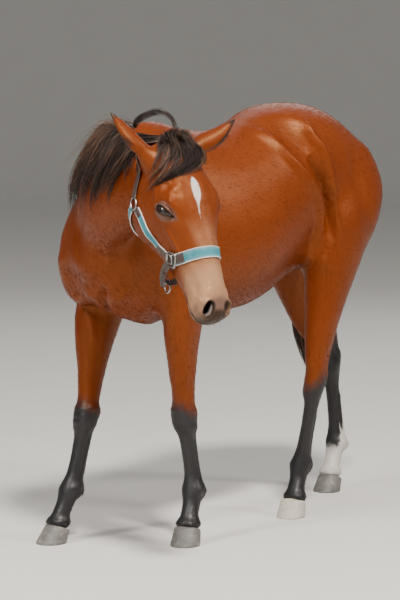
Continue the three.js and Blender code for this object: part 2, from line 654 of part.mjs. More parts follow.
// ---- the group, with its origin under the middle of its box --------------------------------
const root = new THREE.Group();
const everything = made.map(([, s]) => s.boundingBox());
const low = [0, 1, 2].map((i) => Math.min(...everything.map((b) => b.min[i])));
const high = [0, 1, 2].map((i) => Math.max(...everything.map((b) => b.max[i])));
const shift = [-(low[0] + high[0]) / 2, -(low[1] + high[1]) / 2, -low[2]];
for (const [name, s, colour] of made) {
  const m = s.translate(shift).getMesh();
  const geo = new THREE.BufferGeometry()
    .setAttribute("position", new THREE.BufferAttribute(new Float32Array(m.vertProperties), 3))
    .setIndex(new THREE.BufferAttribute(new Uint32Array(m.triVerts), 1));
  const [metalness, roughness] = FINISH[colour] || [0, 0.75];
  const paint = new THREE.MeshStandardMaterial({ color: COLOURS[colour], metalness, roughness });
  const mesh = new THREE.Mesh(geo, paint);
  mesh.name = name;
  root.add(mesh);
}
export const SHIFT = shift;
export default root;
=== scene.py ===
"""A life-size bay youngster in a headcollar, dressed over its solids: one skin, short coat, long hair, tack."""

import math

import bmesh
import bpy
import numpy as np
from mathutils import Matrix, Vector
from mathutils.bvhtree import BVHTree
from mathutils.kdtree import KDTree


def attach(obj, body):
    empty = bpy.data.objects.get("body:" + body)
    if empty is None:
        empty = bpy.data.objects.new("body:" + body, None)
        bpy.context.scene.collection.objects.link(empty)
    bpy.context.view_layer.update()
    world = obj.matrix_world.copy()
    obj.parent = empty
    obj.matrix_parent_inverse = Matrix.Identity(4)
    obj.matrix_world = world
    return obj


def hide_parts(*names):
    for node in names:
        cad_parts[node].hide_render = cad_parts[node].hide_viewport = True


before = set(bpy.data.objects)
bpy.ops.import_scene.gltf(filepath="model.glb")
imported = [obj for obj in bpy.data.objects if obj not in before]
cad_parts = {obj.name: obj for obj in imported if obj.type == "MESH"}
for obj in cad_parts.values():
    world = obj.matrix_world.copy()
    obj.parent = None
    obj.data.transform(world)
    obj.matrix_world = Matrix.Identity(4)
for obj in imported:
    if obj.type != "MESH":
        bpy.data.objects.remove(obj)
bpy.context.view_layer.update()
rng = np.random.default_rng(7)

# ---- where things are: body axes in metres, and the head's own axes ------------------------
SHIFT = np.array([0.324937, -0.193019, 0.0])  # from the middle of the chest's foot to the box's middle


def unit(v):
    v = np.asarray(v, float)
    return v / np.maximum(np.linalg.norm(v, axis=-1, keepdims=True), 1e-12)


POLL = np.array([0.364, 0.458, 1.322]) + SHIFT
NOSEWARD = unit([0.125, 0.45, -0.884])
_face = np.array([0.0925, 0.88, 0.466])
FACEWARD = unit(_face - NOSEWARD * (_face @ NOSEWARD))
LEFTWARD = -np.cross(NOSEWARD, FACEWARD)
HEAD_AXES = np.stack([NOSEWARD, FACEWARD, LEFTWARD])


def on_body(*mm):
    """A place set out in millimetres on the body's axes."""
    return np.asarray(mm, float).reshape(-1, 3).squeeze() / 1000 + SHIFT


def on_head(p):
    """A place in millimetres down the nose, out of the face and to the left."""
    return np.asarray(p, float) / 1000 @ HEAD_AXES + POLL


def head_turn(d):
    return unit(np.asarray(d, float) @ HEAD_AXES)


def head_place(v):
    return (v - POLL) @ HEAD_AXES.T * 1000


def smooth(x, lo, hi):
    t = np.clip((x - lo) / (hi - lo), 0, 1)
    return t * t * (3 - 2 * t)


def bell(x, wide):
    return np.exp(-((x / wide) ** 2))


# ---- camera, floor and light ---------------------------------------------------------------
def set_camera():
    yaw, pitch = -2.4073, -0.1041
    look = Vector((math.cos(pitch) * math.cos(yaw), math.cos(pitch) * math.sin(yaw), math.sin(pitch)))
    bpy.ops.object.camera_add(location=(6.3363, 5.4586, 1.6536))
    cam = bpy.context.object
    cam.rotation_euler = look.to_track_quat("-Z", "Y").to_euler()
    cam.data.sensor_width = 36
    cam.data.lens = 151.1
    bpy.context.scene.camera = cam


def area_light(name, place, aim, size, power, colour=(1, 1, 1)):
    bpy.ops.object.light_add(type="AREA", location=place)
    lamp = bpy.context.object
    lamp.name = name
    lamp.data.size = size
    lamp.data.energy = power
    lamp.data.color = colour
    lamp.rotation_euler = (Vector(aim) - Vector(place)).to_track_quat("-Z", "Y").to_euler()


def set_lights():
    area_light("key", (2.9, 4.0, 7.4), (0.1, 0, 0.8), 1.0, 1180, (1, 0.955, 0.88))
    area_light("side", (-2.8, 5.4, 5.2), (-0.4, 0, 0.9), 1.3, 230, (1, 0.965, 0.91))
    area_light("fill", (6.8, 0.5, 2.2), (0.2, 0, 0.8), 4.0, 80, (0.93, 0.96, 1))
    area_light("front", (5.6, -0.6, 5.0), (0.5, 0, 0.9), 1.2, 300, (1, 0.96, 0.9))
    area_light("back", (-5.0, -3.5, 4.2), (0, 0, 1), 3.0, 60)
    world = bpy.context.scene.world or bpy.data.worlds.new("room")
    bpy.context.scene.world = world
    world.use_nodes = True
    back = world.node_tree.nodes["Background"]
    back.inputs[0].default_value = (0.86, 0.89, 0.93, 1)
    back.inputs[1].default_value = 0.30


# ---- shader maths --------------------------------------------------------------------------
class Sock:
    """One socket of a shader tree, with plain arithmetic on it."""

    def __init__(self, tree, socket):
        self.tree, self.socket = tree, socket

    def node(self, kind, settings=None, sockets=None, out=0):
        return tree_node(self.tree, kind, settings, sockets, out)

    def math(self, op, *rest):
        values = {i + 1: r for i, r in enumerate(rest)}
        return self.node("ShaderNodeMath", {"operation": op}, {0: self, **values})

    def __add__(self, o):
        return self.math("ADD", o)

    __radd__ = __add__

    def __mul__(self, o):
        return self.math("MULTIPLY", o)

    __rmul__ = __mul__

    def __sub__(self, o):
        return self.math("SUBTRACT", o)

    def __rsub__(self, o):
        return self.node("ShaderNodeMath", {"operation": "SUBTRACT"}, {0: o, 1: self})

    def step(self, lo, hi):
        return self.node("ShaderNodeMapRange", {"interpolation_type": "SMOOTHSTEP"},
                         {"Value": self, "From Min": lo, "From Max": hi})

    def top(self, o):
        return self.math("MAXIMUM", o)


def tree_node(tree, kind, settings=None, sockets=None, out=0):
    n = tree.nodes.new(kind)
    for k, v in (settings or {}).items():
        if k == "stops":
            ramp = n.color_ramp
            while len(ramp.elements) < len(v):
                ramp.elements.new(0.5)
            for e, (at, c) in zip(ramp.elements, v):
                e.position, e.color = at, (*c, 1)
        else:
            setattr(n, k, v)
    for k, v in (sockets or {}).items():
        if isinstance(v, Sock):
            tree.links.new(v.socket, n.inputs[k])
        elif isinstance(v, tuple) and len(v) == 3 and n.inputs[k].type == "RGBA":
            n.inputs[k].default_value = (*v, 1)
        else:
            n.inputs[k].default_value = v
    return Sock(tree, n.outputs[out])


class Paint:
    """A material under way: its tree, its shader and short ways to the nodes that it needs."""

    def __init__(self, name, **constants):
        self.material = bpy.data.materials.new(name)
        self.material.use_nodes = True
        self.tree = self.material.node_tree
        self.shader = next(n for n in self.tree.nodes if n.type == "BSDF_PRINCIPLED")
        for k, v in constants.items():
            self.shader.inputs[k.replace("_", " ")].default_value = v

    def node(self, kind, settings=None, sockets=None, out=0):
        return tree_node(self.tree, kind, settings, sockets, out)

    def place(self):
        return self.node("ShaderNodeTexCoord", out="Object")

    def uv(self, name):
        return self.node("ShaderNodeUVMap", {"uv_map": name})

    def layer(self, name, out="Fac"):
        return self.node("ShaderNodeAttribute", {"attribute_name": name}, out=out)

    def scaled(self, where, size):
        return self.node("ShaderNodeMapping", {}, {"Vector": where, "Scale": size})

    def noise(self, where, scale, detail=3.0, rough=0.55, out=0):
        return self.node("ShaderNodeTexNoise", {}, {"Vector": where, "Scale": scale, "Detail": detail,
                                                    "Roughness": rough}, out)

    def mix(self, share, a, b, blend="MIX"):
        n = self.node("ShaderNodeMix", {"data_type": "RGBA", "blend_type": blend}, {}, 2)
        mixer = n.socket.node
        for k, v in ((0, share), (6, a), (7, b)):
            if isinstance(v, Sock):
                self.tree.links.new(v.socket, mixer.inputs[k])
            else:
                mixer.inputs[k].default_value = (*v, 1) if isinstance(v, tuple) else v
        return n

    def bump(self, height, strength, distance):
        return self.node("ShaderNodeBump", {}, {"Height": height, "Strength": strength, "Distance": distance})

    def feed(self, **links):
        for k, v in links.items():
            self.tree.links.new(v.socket, self.shader.inputs[k.replace("_", " ")])
        return self.material


# ---- mesh helpers --------------------------------------------------------------------------
def points_of(mesh):
    v = np.empty(len(mesh.vertices) * 3, np.float32)
    mesh.vertices.foreach_get("co", v)
    return v.reshape(-1, 3).astype(float)


def normals_of(mesh):
    v = np.empty(len(mesh.vertices) * 3, np.float32)
    mesh.vertex_normals.foreach_get("vector", v)
    return v.reshape(-1, 3).astype(float)


def move_points(mesh, v):
    mesh.vertices.foreach_set("co", np.asarray(v, np.float32).ravel())
    mesh.update()


def mesh_from(name, verts, faces):
    """A mesh object from points and equal-sided faces, smooth shaded."""
    faces = np.asarray(faces, np.int32)
    mesh = bpy.data.meshes.new(name)
    mesh.vertices.add(len(verts))
    mesh.vertices.foreach_set("co", np.asarray(verts, np.float32).ravel())
    mesh.loops.add(faces.size)
    mesh.loops.foreach_set("vertex_index", faces.ravel())
    mesh.polygons.add(len(faces))
    mesh.polygons.foreach_set("loop_start", np.arange(len(faces), dtype=np.int32) * faces.shape[1])
    mesh.update(calc_edges=True)
    mesh.polygons.foreach_set("use_smooth", np.ones(len(faces), bool))
    obj = bpy.data.objects.new(name, mesh)
    bpy.context.scene.collection.objects.link(obj)
    return obj


def only(obj):
    bpy.ops.object.select_all(action="DESELECT")
    obj.select_set(True)
    bpy.context.view_layer.objects.active = obj


def apply_modifier(obj, kind, **settings):
    only(obj)
    bpy.ops.object.modifier_add(type=kind)
    m = obj.modifiers[-1]
    for k, v in settings.items():
        setattr(m, k, v)
    bpy.ops.object.modifier_apply(modifier=m.name)


def layer(obj, name, values):
    mesh = obj.data
    a = mesh.attributes.get(name) or mesh.attributes.new(name, "FLOAT", "POINT")
    a.data.foreach_set("value", np.asarray(values, np.float32))


class Net:
    """The edges of a mesh, for evening out what its points carry."""

    def __init__(self, mesh):
        e = np.empty(len(mesh.edges) * 2, np.int32)
        mesh.edges.foreach_get("vertices", e)
        self.a, self.b = e.reshape(-1, 2).T
        self.n = len(mesh.vertices)
        self.count = np.maximum(np.bincount(self.a, minlength=self.n) + np.bincount(self.b, minlength=self.n), 1)

    def mean(self, x):
        if x.ndim > 1:
            return np.stack([self.mean(c) for c in x.T], 1)
        s = np.bincount(self.a, x[self.b], self.n) + np.bincount(self.b, x[self.a], self.n)
        return s / self.count

    def even(self, x, times, share=0.5):
        s = share if np.isscalar(share) or x.ndim == 1 else share[:, None]
        for _ in range(times):
            x = x + s * (self.mean(x) - x)
        return x


def solid_copy(names, grow, name):
    """One object from copies of solids, each welded and grown a little so that thin cuts close."""
    copies = []
    for n in names:
        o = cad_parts[n].copy()
        o.data = o.data.copy()
        o.parent = None
        for k in list(o.keys()):
            del o[k]
        bpy.context.scene.collection.objects.link(o)
        bm = bmesh.new()
        bm.from_mesh(o.data)
        bmesh.ops.remove_doubles(bm, verts=bm.verts, dist=1e-5)
        bm.normal_update()
        for v in bm.verts:
            v.co += v.normal * grow
        bm.to_mesh(o.data)
        bm.free()
        copies.append(o)
    bpy.ops.object.select_all(action="DESELECT")
    for o in copies:
        o.select_set(True)
    bpy.context.view_layer.objects.active = copies[0]
    if len(copies) > 1:
        bpy.ops.object.join()
    copies[0].name = name
    copies[0].data.materials.clear()
    return copies[0]


# ---- the skin ------------------------------------------------------------------------------
LEGS = ["foreleg_left", "foreleg_right", "hindleg_left", "hindleg_right"]
FLESH = ["head", "neck", "trunk"] + [f"{leg}_{end}" for leg in LEGS for end in ("upper", "lower")]
COAT_DEPTH = 0.0016
TUFT_PIECES = 5


def surface_of(names):
    """A tree over some solids' faces, and which solid each face belongs to."""
    verts, faces, owner = [], [], []
    for i, n in enumerate(names):
        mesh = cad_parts[n].data
        base = len(verts)
        verts += [v.co.copy() for v in mesh.vertices]
        for p in mesh.polygons:
            faces.append([base + k for k in p.vertices])
            owner.append(i)
    return BVHTree.FromPolygons(verts, faces), np.array(owner)


def owners(points, names):
    tree, owner = surface_of(names)
    return np.array([owner[tree.find_nearest(p)[2]] for p in points.tolist()])


def rough_skin():
    fine = solid_copy(FLESH, 0.0007, "skin")
    coarse = fine.copy()
    coarse.data = fine.data.copy()
    bpy.context.scene.collection.objects.link(coarse)
    apply_modifier(fine, "REMESH", mode="VOXEL", voxel_size=0.0082)
    apply_modifier(coarse, "REMESH", mode="VOXEL", voxel_size=0.016)
    # the broad body loses its facets, but not its size
    net = Net(coarse.data)
    v = points_of(coarse.data)
    for _ in range(120):
        v = v + 0.5 * (net.mean(v) - v)
        v = v - 0.53 * (net.mean(v) - v)
    move_points(coarse.data, v)
    v = points_of(fine.data)
    net = Net(fine.data)
    who = owners(v, FLESH)
    share = np.where(who == 2, 1.0, np.where(who == 1, 0.85, 0.0))
    share[np.isin(who, [3, 5, 7, 9])] = 0.8
    share = net.even(share, 14)
    tree = BVHTree.FromPolygons([Vector(p) for p in points_of(coarse.data)],
                                [list(p.vertices) for p in coarse.data.polygons])
    near = np.array([tree.find_nearest(p)[0] for p in v.tolist()])
    v += share[:, None] * (near - v)
    bpy.data.objects.remove(coarse)
    v = net.even(v, 4, 0.35 + 0.25 * share)
    move_points(fine.data, v)
    return fine


def refine(obj, wanted, even=4):
    """Splits the faces whose points are wanted, and evens what is new there."""
    v = points_of(obj.data)
    keep = wanted(v)
    bm = bmesh.new()
    bm.from_mesh(obj.data)
    bm.verts.ensure_lookup_table()
    edges = [e for e in bm.edges if keep[e.verts[0].index] and keep[e.verts[1].index]]
    bmesh.ops.subdivide_edges(bm, edges=edges, cuts=1, use_grid_fill=True)
    bm.to_mesh(obj.data)
    bm.free()
    v = points_of(obj.data)
    net = Net(obj.data)
    share = net.even(wanted(v).astype(float), 3)
    move_points(obj.data, net.even(v, even, 0.5 * share))


# ---- sleeves that are sewn into the skin: lids, nostrils and ears ---------------------------
EYES = {"left": on_head([198, -24, 87]), "right": on_head([207, -29, -87])}
EYE_R = 0.0245
EYE_LONG = 1.22
LID_SIDES = 40


def side_of(k):
    return 1 if k == "left" else -1


def axes_at(out, along):
    """Three axes from the way out and, about, the way along."""
    o = head_turn(out)
    a = head_turn(along)
    a = unit(a - o * (a @ o))
    return o, a, np.cross(o, a)


def eye_axes(k):
    s = side_of(k)
    o, a, h = axes_at([0.12, 0.44, 0.89 * s], [0.77, 0.52, -0.37 * s])
    return o, a, h if h @ FACEWARD > 0 else -h  # out, towards the nose, towards the brow


LID_LINE = np.array([  # mm along the eye from its back corner to the inner one, upper lid, lower lid
    [-27.5, 1.0, 0.5], [-25, 5.2, -3.2], [-20, 8.0, -7.2], [-12, 10.2, -10.4], [-3, 11.0, -11.6], [6, 9.8, -10.6], [14, 7.6, -8.2], [21, 5.0, -5.2],
    [27, 2.6, -2.9], [33, 0.9, -1.6], [37, -0.4, -1.0]])


def lid_opening(angle):
    """The edge of the lids in metres along and across the eye, brow side up."""
    x = 4.75 + 32.25 * np.cos(angle) * np.where(np.cos(angle) > 0, 1, 1)
    up = np.interp(x, LID_LINE[:, 0], LID_LINE[:, 1])
    low = np.interp(x, LID_LINE[:, 0], LID_LINE[:, 2])
    mid = np.interp(x, [-27.5, 37], [0.7, -0.7])
    share = np.clip(np.abs(np.sin(angle)) * 6, 0, 1)
    y = np.where(np.sin(angle) > 0, mid + (up - mid) * share, mid + (low - mid) * share)
    return x / 1000, y / 1000


def ball_depth(px, py, radius):
    return np.sqrt(np.clip(radius ** 2 - (px / EYE_LONG) ** 2 - py ** 2, 1e-8, None))


def eye_sleeve(k, tree):
    c = EYES[k]
    o, a, h = eye_axes(k)
    t = np.linspace(0, 2 * np.pi, LID_SIDES, endpoint=False)
    x, y = lid_opening(t)
    side = np.stack([np.gradient(np.concatenate([x[-1:], x, x[:1]]))[1:-1], np.gradient(np.concatenate([y[-1:], y, y[:1]]))[1:-1]], 1)
    nx, ny = side[:, 1], -side[:, 0]
    size = np.hypot(nx, ny) + 1e-9
    nx, ny = nx / size, ny / size
    nx, ny = 0.6 * nx + 0.4 * np.cos(t), 0.6 * ny + 0.4 * np.sin(t)
    upper = smooth(np.sin(t), -0.2, 0.5)
    rings = []
    # mm out from the lids' edge (above, below), how far from the ball, share of the skin's own place
    rows = [(23, 19, 0, 1.0), (18, 15, 3.5, 0.75), (14, 11.5, 4.6, 0.45), (11, 9, 4.6, 0.2), (8.6, 7, 2.6, 0.1), (7.4, 5.8, 2.9, 0.05), (5.4, 4, 4.2, 0),
            (3.2, 2.2, 4.0, 0), (1.4, 1.0, 3.3, 0), (0.2, 0.1, 2.4, 0), (0, 0, 1.3, 0), (0.6, 0.6, -0.8, 0), (1.6, 1.6, -3.0, 0)]
    for above, below, lift, own in rows:
        wide = (above * upper + below * (1 - upper)) / 1000
        px, py = x + nx * wide, y + ny * wide
        lid = EYE_R + lift / 1000 + (0.0014 * upper if 9 < above < 15 else 0)
        depth = ball_depth(px, py, lid)
        places = []
        for dx, dy in zip(px, py):
            start = c + dx * a + dy * h + o * 0.08
            hit = tree.ray_cast(Vector(start), Vector(-o))[0]
            places.append((np.array(hit) - c) @ o if hit else 0.01)
        places = np.array(places)
        depth = np.maximum(depth, places - 0.004 + lift / 1000 * 0.4)
        depth = depth + own * (places - depth)
        if lift > 0:
            depth = np.maximum(depth, ball_depth(px, py, EYE_R + 0.0012))
        rings.append(c + px[:, None] * a + py[:, None] * h + depth[:, None] * o)
    rings.append(c + 0.25 * (rings[-1] - c))

    def inside(v):
        d = v - c
        px, py = d @ a * 1000 - 4.75, d @ h * 1000
        return ((px / 58) ** 2 + (py / np.where(py > 0, 34.0, 30.5)) ** 2 < 1.0) & (d @ o > -0.034) & (d @ o < 0.05)

    return np.array(rings), inside, c


def nostril_axes(k):
    s = side_of(k)
    o, a, h = axes_at([0.40, 0.635, 0.66 * s], [0.74, -0.65, 0.18 * s])
    return o, a, h if h @ NOSEWARD > 0 else -h  # out, towards the lip, towards the tip of the nose


def nostril_sleeve(k, tree):
    s = side_of(k)
    c0 = on_head([530, -15, 36 * s])
    o, a, h = nostril_axes(k)
    hit = tree.ray_cast(Vector(c0 + o * 0.06), Vector(-o))[0]
    c = np.array(hit) if hit else c0
    t = np.linspace(0, 2 * np.pi, LID_SIDES, endpoint=False)
    x = 0.0265 * np.cos(t)
    y = 0.0150 * np.sin(t) * (1 + 0.24 * np.cos(t)) - 0.0030 * np.cos(t) ** 2
    front = smooth(np.sin(t), -0.3, 0.6)  # the side towards the tip, where the inner fold is
    wing = smooth(-np.sin(t), -0.4, 0.8)
    rings = []
    rows = [(1.62, 0, 1), (1.46, 0.5, 1), (1.30, 1.4, 1), (1.16, 2.5, 1), (1.06, 2.9, 1), (0.99, 2.2, 1), (0.95, 0.4, 1), (0.91, -2.0, 0.9), (0.86, -5, 0.8),
            (0.82, -9, 0.6), (0.76, -15, 0.4), (0.66, -23, 0.2), (0.5, -32, 0)]
    for wide, lift, own in rows:
        inner = smooth(np.array(-lift), 0.0, 10.0)
        px, py = x * wide, y * wide * (1 - inner * 0.62 * front) - inner * front * 0.0015
        pts = c + px[:, None] * a + py[:, None] * h
        if own > 0:
            skin_pts = []
            for q in pts:
                hit = tree.ray_cast(Vector(q + o * 0.06), Vector(-o))[0]
                skin_pts.append(np.array(hit) if hit else q)
            pts = pts + own * (np.array(skin_pts) - pts)
        more = lift * (1 + 0.45 * wing) if lift > 0 else lift
        rings.append(pts + (np.asarray(more) / 1000 * np.ones(len(t)))[:, None] * o)
    rings.append(rings[-1].mean(0) + 0.3 * (rings[-1] - rings[-1].mean(0)) - 0.004 * o)

    def inside(v):
        d = v - c
        px, py = d @ a, d @ h
        return ((px / 0.0425) ** 2 + (((py + 0.0015) / 0.0270) ** 2) < 1.0) & (d @ o > -0.016) & (np.linalg.norm(d, axis=1) < 0.06)

    return np.array(rings), inside, c


EARS = {
    "left": dict(base=[0, -50, 88], tip=[-81, 40, 229], open=[0.25, -0.8, 0.1]),
    "right": dict(base=[2, -52, -86], tip=[-127, -45, -183], open=[0.1, -0.9, -0.25]),
}
# share of the length, half width, depth of the back, how cupped, how far the front bulges
EAR_ROWS = [(-0.10, 36, 34, 0, 0.95), (-0.02, 31, 30, 0, 0.8), (0.05, 28, 27, 0, 0.6), (0.11, 27.5, 26, 0.1, 0.5), (0.16, 28.5, 26, 0.6, 0.4),
            (0.22, 30, 26, 0.95, 0.35), (0.30, 31.5, 25, 1, 0.3), (0.40, 32, 23, 1, 0.25), (0.50, 30.5, 20.5, 1, 0.2), (0.60, 27, 17.5, 1, 0.15),
            (0.70, 22, 14, 1, 0.1), (0.79, 16.5, 11, 1, 0.1), (0.87, 11, 8, 1, 0.1), (0.93, 7, 5.5, 0.9, 0.1), (0.97, 4.2, 3.6, 0.6, 0.2),
            (1.0, 2.0, 2.0, 0, 0.4)]
EAR_BACK, EAR_FRONT = 26, 18


def ear_axes(k):
    e = EARS[k]
    p, q = on_head(e["base"]), on_head(e["tip"])
    d = unit(q - p)
    o = head_turn(e["open"])
    o = unit(o - d * (o @ d))
    return p, q, d, o, np.cross(d, o), np.linalg.norm(q - p)


def ear_ring(k, t, w, b, cup, bulge):
    p, q, d, o, side, length = ear_axes(k)
    wall = 2.6 + 2.2 * (1 - np.clip(t, 0, 1))
    curl = 0.16 + 0.16 * cup
    back = np.linspace(curl, -np.pi - curl, EAR_BACK)
    front = np.linspace(-np.pi - curl, curl, EAR_FRONT + 2)[1:-1]
    bx, by = np.cos(back) * w, np.sin(back) * b
    by = np.where(by > 0, by * 0.9, by)
    ix, iy = np.cos(front) * (w - wall), np.sin(front) * (b - wall) + wall * 0.25
    u = (front + np.pi / 2) / (np.pi / 2 + curl)
    fx, fy = np.sin(u * np.pi / 2) * w * np.cos(curl) * 0.97, b * (np.sin(curl) * 0.9 + bulge * (1 - u * u))
    fx = np.where(np.abs(fx) > w, np.sign(fx) * w, fx)
    x = np.concatenate([bx, fx + cup * (ix - fx)])
    y = np.concatenate([by, fy + cup * (iy - fy)])
    mid = p + d * (t * length) + o * (0.007 * math.sin(math.pi * np.clip(t, 0, 1)))
    sway = side * (0.004 * math.sin(2.2 * math.pi * np.clip(t, 0, 1)))
    return mid + sway + (x[:, None] * side + y[:, None] * o) / 1000


def ear_sleeve(k, tree):
    p, q, d, o, side, length = ear_axes(k)
    rings = [ear_ring(k, *row) for row in EAR_ROWS]
    # the foot of the ear spreads onto the skull
    foot = rings[1].copy()
    centre = foot.mean(0)
    spread = []
    for pt in foot:
        out = unit((pt - centre) - d * ((pt - centre) @ d))
        start = pt + out * 0.010 + d * 0.05
        hit = tree.ray_cast(Vector(start), Vector(-d))[0]
        spread.append(np.array(hit) if hit and (pt - np.array(hit)) @ d < 0.05 else pt + out * 0.008 - d * 0.012)
    rings = [np.array(spread)] + rings[1:]
    tip = rings[-1].mean(0)
    rings.append(tip + 0.3 * (rings[-1] - tip) + d * 0.0012)

    def inside(v):
        e = v - p
        px, py, pz = e @ side, e @ o, e @ d
        return (px ** 2 + py ** 2 < 0.0385 ** 2) & (pz > -0.055) & (pz < 0.07)

    return np.array(rings), inside, p


def border_loops(bm):
    left, loops = {e for e in bm.edges if e.is_boundary}, []
    while left:
        todo, found = [left.pop()], []
        while todo:
            e = todo.pop()
            found.append(e)
            for w in e.verts:
                for other in w.link_edges:
                    if other in left:
                        left.discard(other)
                        todo.append(other)
        loops.append(found)
    return loops


def sew(obj, sleeves):
    """Opens the skin and joins each sleeve's outer ring to the edge of its hole."""
    v = points_of(obj.data)
    bm = bmesh.new()
    bm.from_mesh(obj.data)
    bm.verts.ensure_lookup_table()
    mark = bm.verts.layers.float.new("sewn")
    cuts = [inside(v) for _, inside, _ in sleeves]
    gone = [bm.verts[i] for i in np.flatnonzero(np.any(cuts, 0))]
    bmesh.ops.delete(bm, geom=gone, context="VERTS")
    bmesh.ops.delete(bm, geom=[e for e in bm.edges if e.is_wire], context="EDGES")
    bmesh.ops.delete(bm, geom=[w for w in bm.verts if not w.link_faces], context="VERTS")
    pinched = [w for w in bm.verts if sum(e.is_boundary for e in w.link_edges) > 2]
    bmesh.ops.delete(bm, geom=pinched, context="VERTS")
    loops = border_loops(bm)
    for small in [lp for lp in loops if len(lp) < 24]:
        bmesh.ops.holes_fill(bm, edges=small, sides=0)
    border = [e for lp in loops if len(lp) >= 24 for e in lp]
    print("holes", [len(lp) for lp in loops])
    middles = [rings[0].mean(0) for rings, _, _ in sleeves]
    spots = np.array([e.verts[0].co for e in border])
    belongs = np.argmin([np.linalg.norm(spots - m, axis=1) for m in middles], 0)
    for number, (rings, _, _) in enumerate(sleeves):
        hole = [border[i] for i in np.flatnonzero(belongs == number)]
        rows = []
        for i, ring in enumerate(rings):
            row = [bm.verts.new(q) for q in ring]
            for w in row:
                w[mark] = 0.5 if i < 2 else 1.0
            rows.append(row)
        n = len(rows[0])
        for r0, r1 in zip(rows, rows[1:]):
            for i in range(n):
                bm.faces.new((r0[i], r0[(i + 1) % n], r1[(i + 1) % n], r1[i]))
        bm.faces.new(rows[-1])
        edge = [bm.edges.get((rows[0][i], rows[0][(i + 1) % n])) for i in range(n)]
        bmesh.ops.bridge_loops(bm, edges=hole + edge)
    bmesh.ops.triangulate(bm, faces=[f for f in bm.faces if len(f.verts) > 4])
    bmesh.ops.recalc_face_normals(bm, faces=bm.faces)
    print("open edges left in the skin:", sum(1 for e in bm.edges if not e.is_manifold))
    bm.to_mesh(obj.data)
    bm.free()
    sewn = np.empty(len(obj.data.vertices), np.float32)
    obj.data.attributes["sewn"].data.foreach_get("value", sewn)
    v = points_of(obj.data)
    net = Net(obj.data)
    near = net.even((sewn > 0).astype(float), 4)
    share = np.clip(near * 4, 0, 1) * np.where(sewn >= 1, 0.0, 1.0)
    move_points(obj.data, net.even(v, 10, 0.5 * share))
    return sewn


def detail_places(v):
    """Lids and muzzle."""
    h = head_place(v)
    near_head = (np.abs(h[:, 2]) < 130) & (h[:, 0] > -60) & (h[:, 0] < 600) & (h[:, 1] > -270) & (h[:, 1] < 90)
    muzzle = near_head & (h[:, 0] > 445)
    eye = near_head & np.any([np.linalg.norm(v - EYES[k], axis=1) < 0.062 for k in EYES], 0)
    return muzzle | eye


def finer_places(v):
    """The head and the legs below the elbow and stifle."""
    h = head_place(v)
    head = (np.abs(h[:, 2]) < 130) & (h[:, 0] > -40) & (h[:, 0] < 600) & (h[:, 1] > -255) & (h[:, 1] < 90)
    return head | (v[:, 2] < 0.55)


# ---- forms that the hand would model on the skin --------------------------------------------
def reach_of(v, line):
    """How far each point is from a line of points, and how far along it lies."""
    line = np.atleast_2d(line)
    best = np.full(len(v), 1e9)
    where = np.zeros(len(v))
    for i, (p, q) in enumerate(zip(line, line[1:])):
        d = q - p
        t = np.clip(((v - p) @ d) / max(d @ d, 1e-12), 0, 1)
        r = np.linalg.norm(v - p - t[:, None] * d, axis=1)
        near = r < best
        best[near] = r[near]
        where[near] = ((i + t) / (len(line) - 1))[near]
    return best, where


class Clay:
    """The skin while it is modelled: its points, their normals and strokes that push them in or out."""

    def __init__(self, obj):
        self.obj = obj
        self.v = points_of(obj.data)
        self.n = normals_of(obj.data)

    def stroke(self, line, wide, height, facing=None, fade=0.25, sink=None):
        """Raises (or, below 0, sinks) a soft ridge along a line; wide and height are in mm."""
        line = np.atleast_2d(np.asarray(line, float))
        reach, along = reach_of(self.v, line)
        push = bell(reach, wide / 1000) * height / 1000
        if fade and len(line) > 1:
            push = push * smooth(np.minimum(along, 1 - along), -fade * 0.5, fade)
        if facing is not None:
            push = push * np.clip(self.n @ unit(facing) * 1.6, 0, 1)
        self.v = self.v + self.n * push[:, None]

    def renew(self):
        move_points(self.obj.data, self.v)
        self.n = normals_of(self.obj.data)


def flank(clay, side, line, wide, height, fade=0.3, x_side=1.0):
    """A stroke on one side of the trunk, set out in (x, z) mm; it finds the side's surface for itself."""
    pts = np.array([[x / 1000 + SHIFT[0], z / 1000] for x, z in line])
    best, where = reach_of(clay.v[:, [0, 2]], pts)
    push = bell(best, wide / 1000) * height / 1000
    push = push * smooth(np.minimum(where, 1 - where), -fade * 0.5, fade)
    push = push * np.clip(clay.n[:, 1] * side * 1.8, 0, 1) * (clay.v[:, 2] > 0.55)
    mid = (clay.v[:, 1] - SHIFT[1]) * side
    h = head_place(clay.v)
    off_head = ~((h[:, 0] > -120) & (np.abs(h[:, 2]) < 140) & (h[:, 1] > -300) & (h[:, 1] < 120))
    push = push * (mid > 0.0) * off_head
    clay.v = clay.v + clay.n * push[:, None]


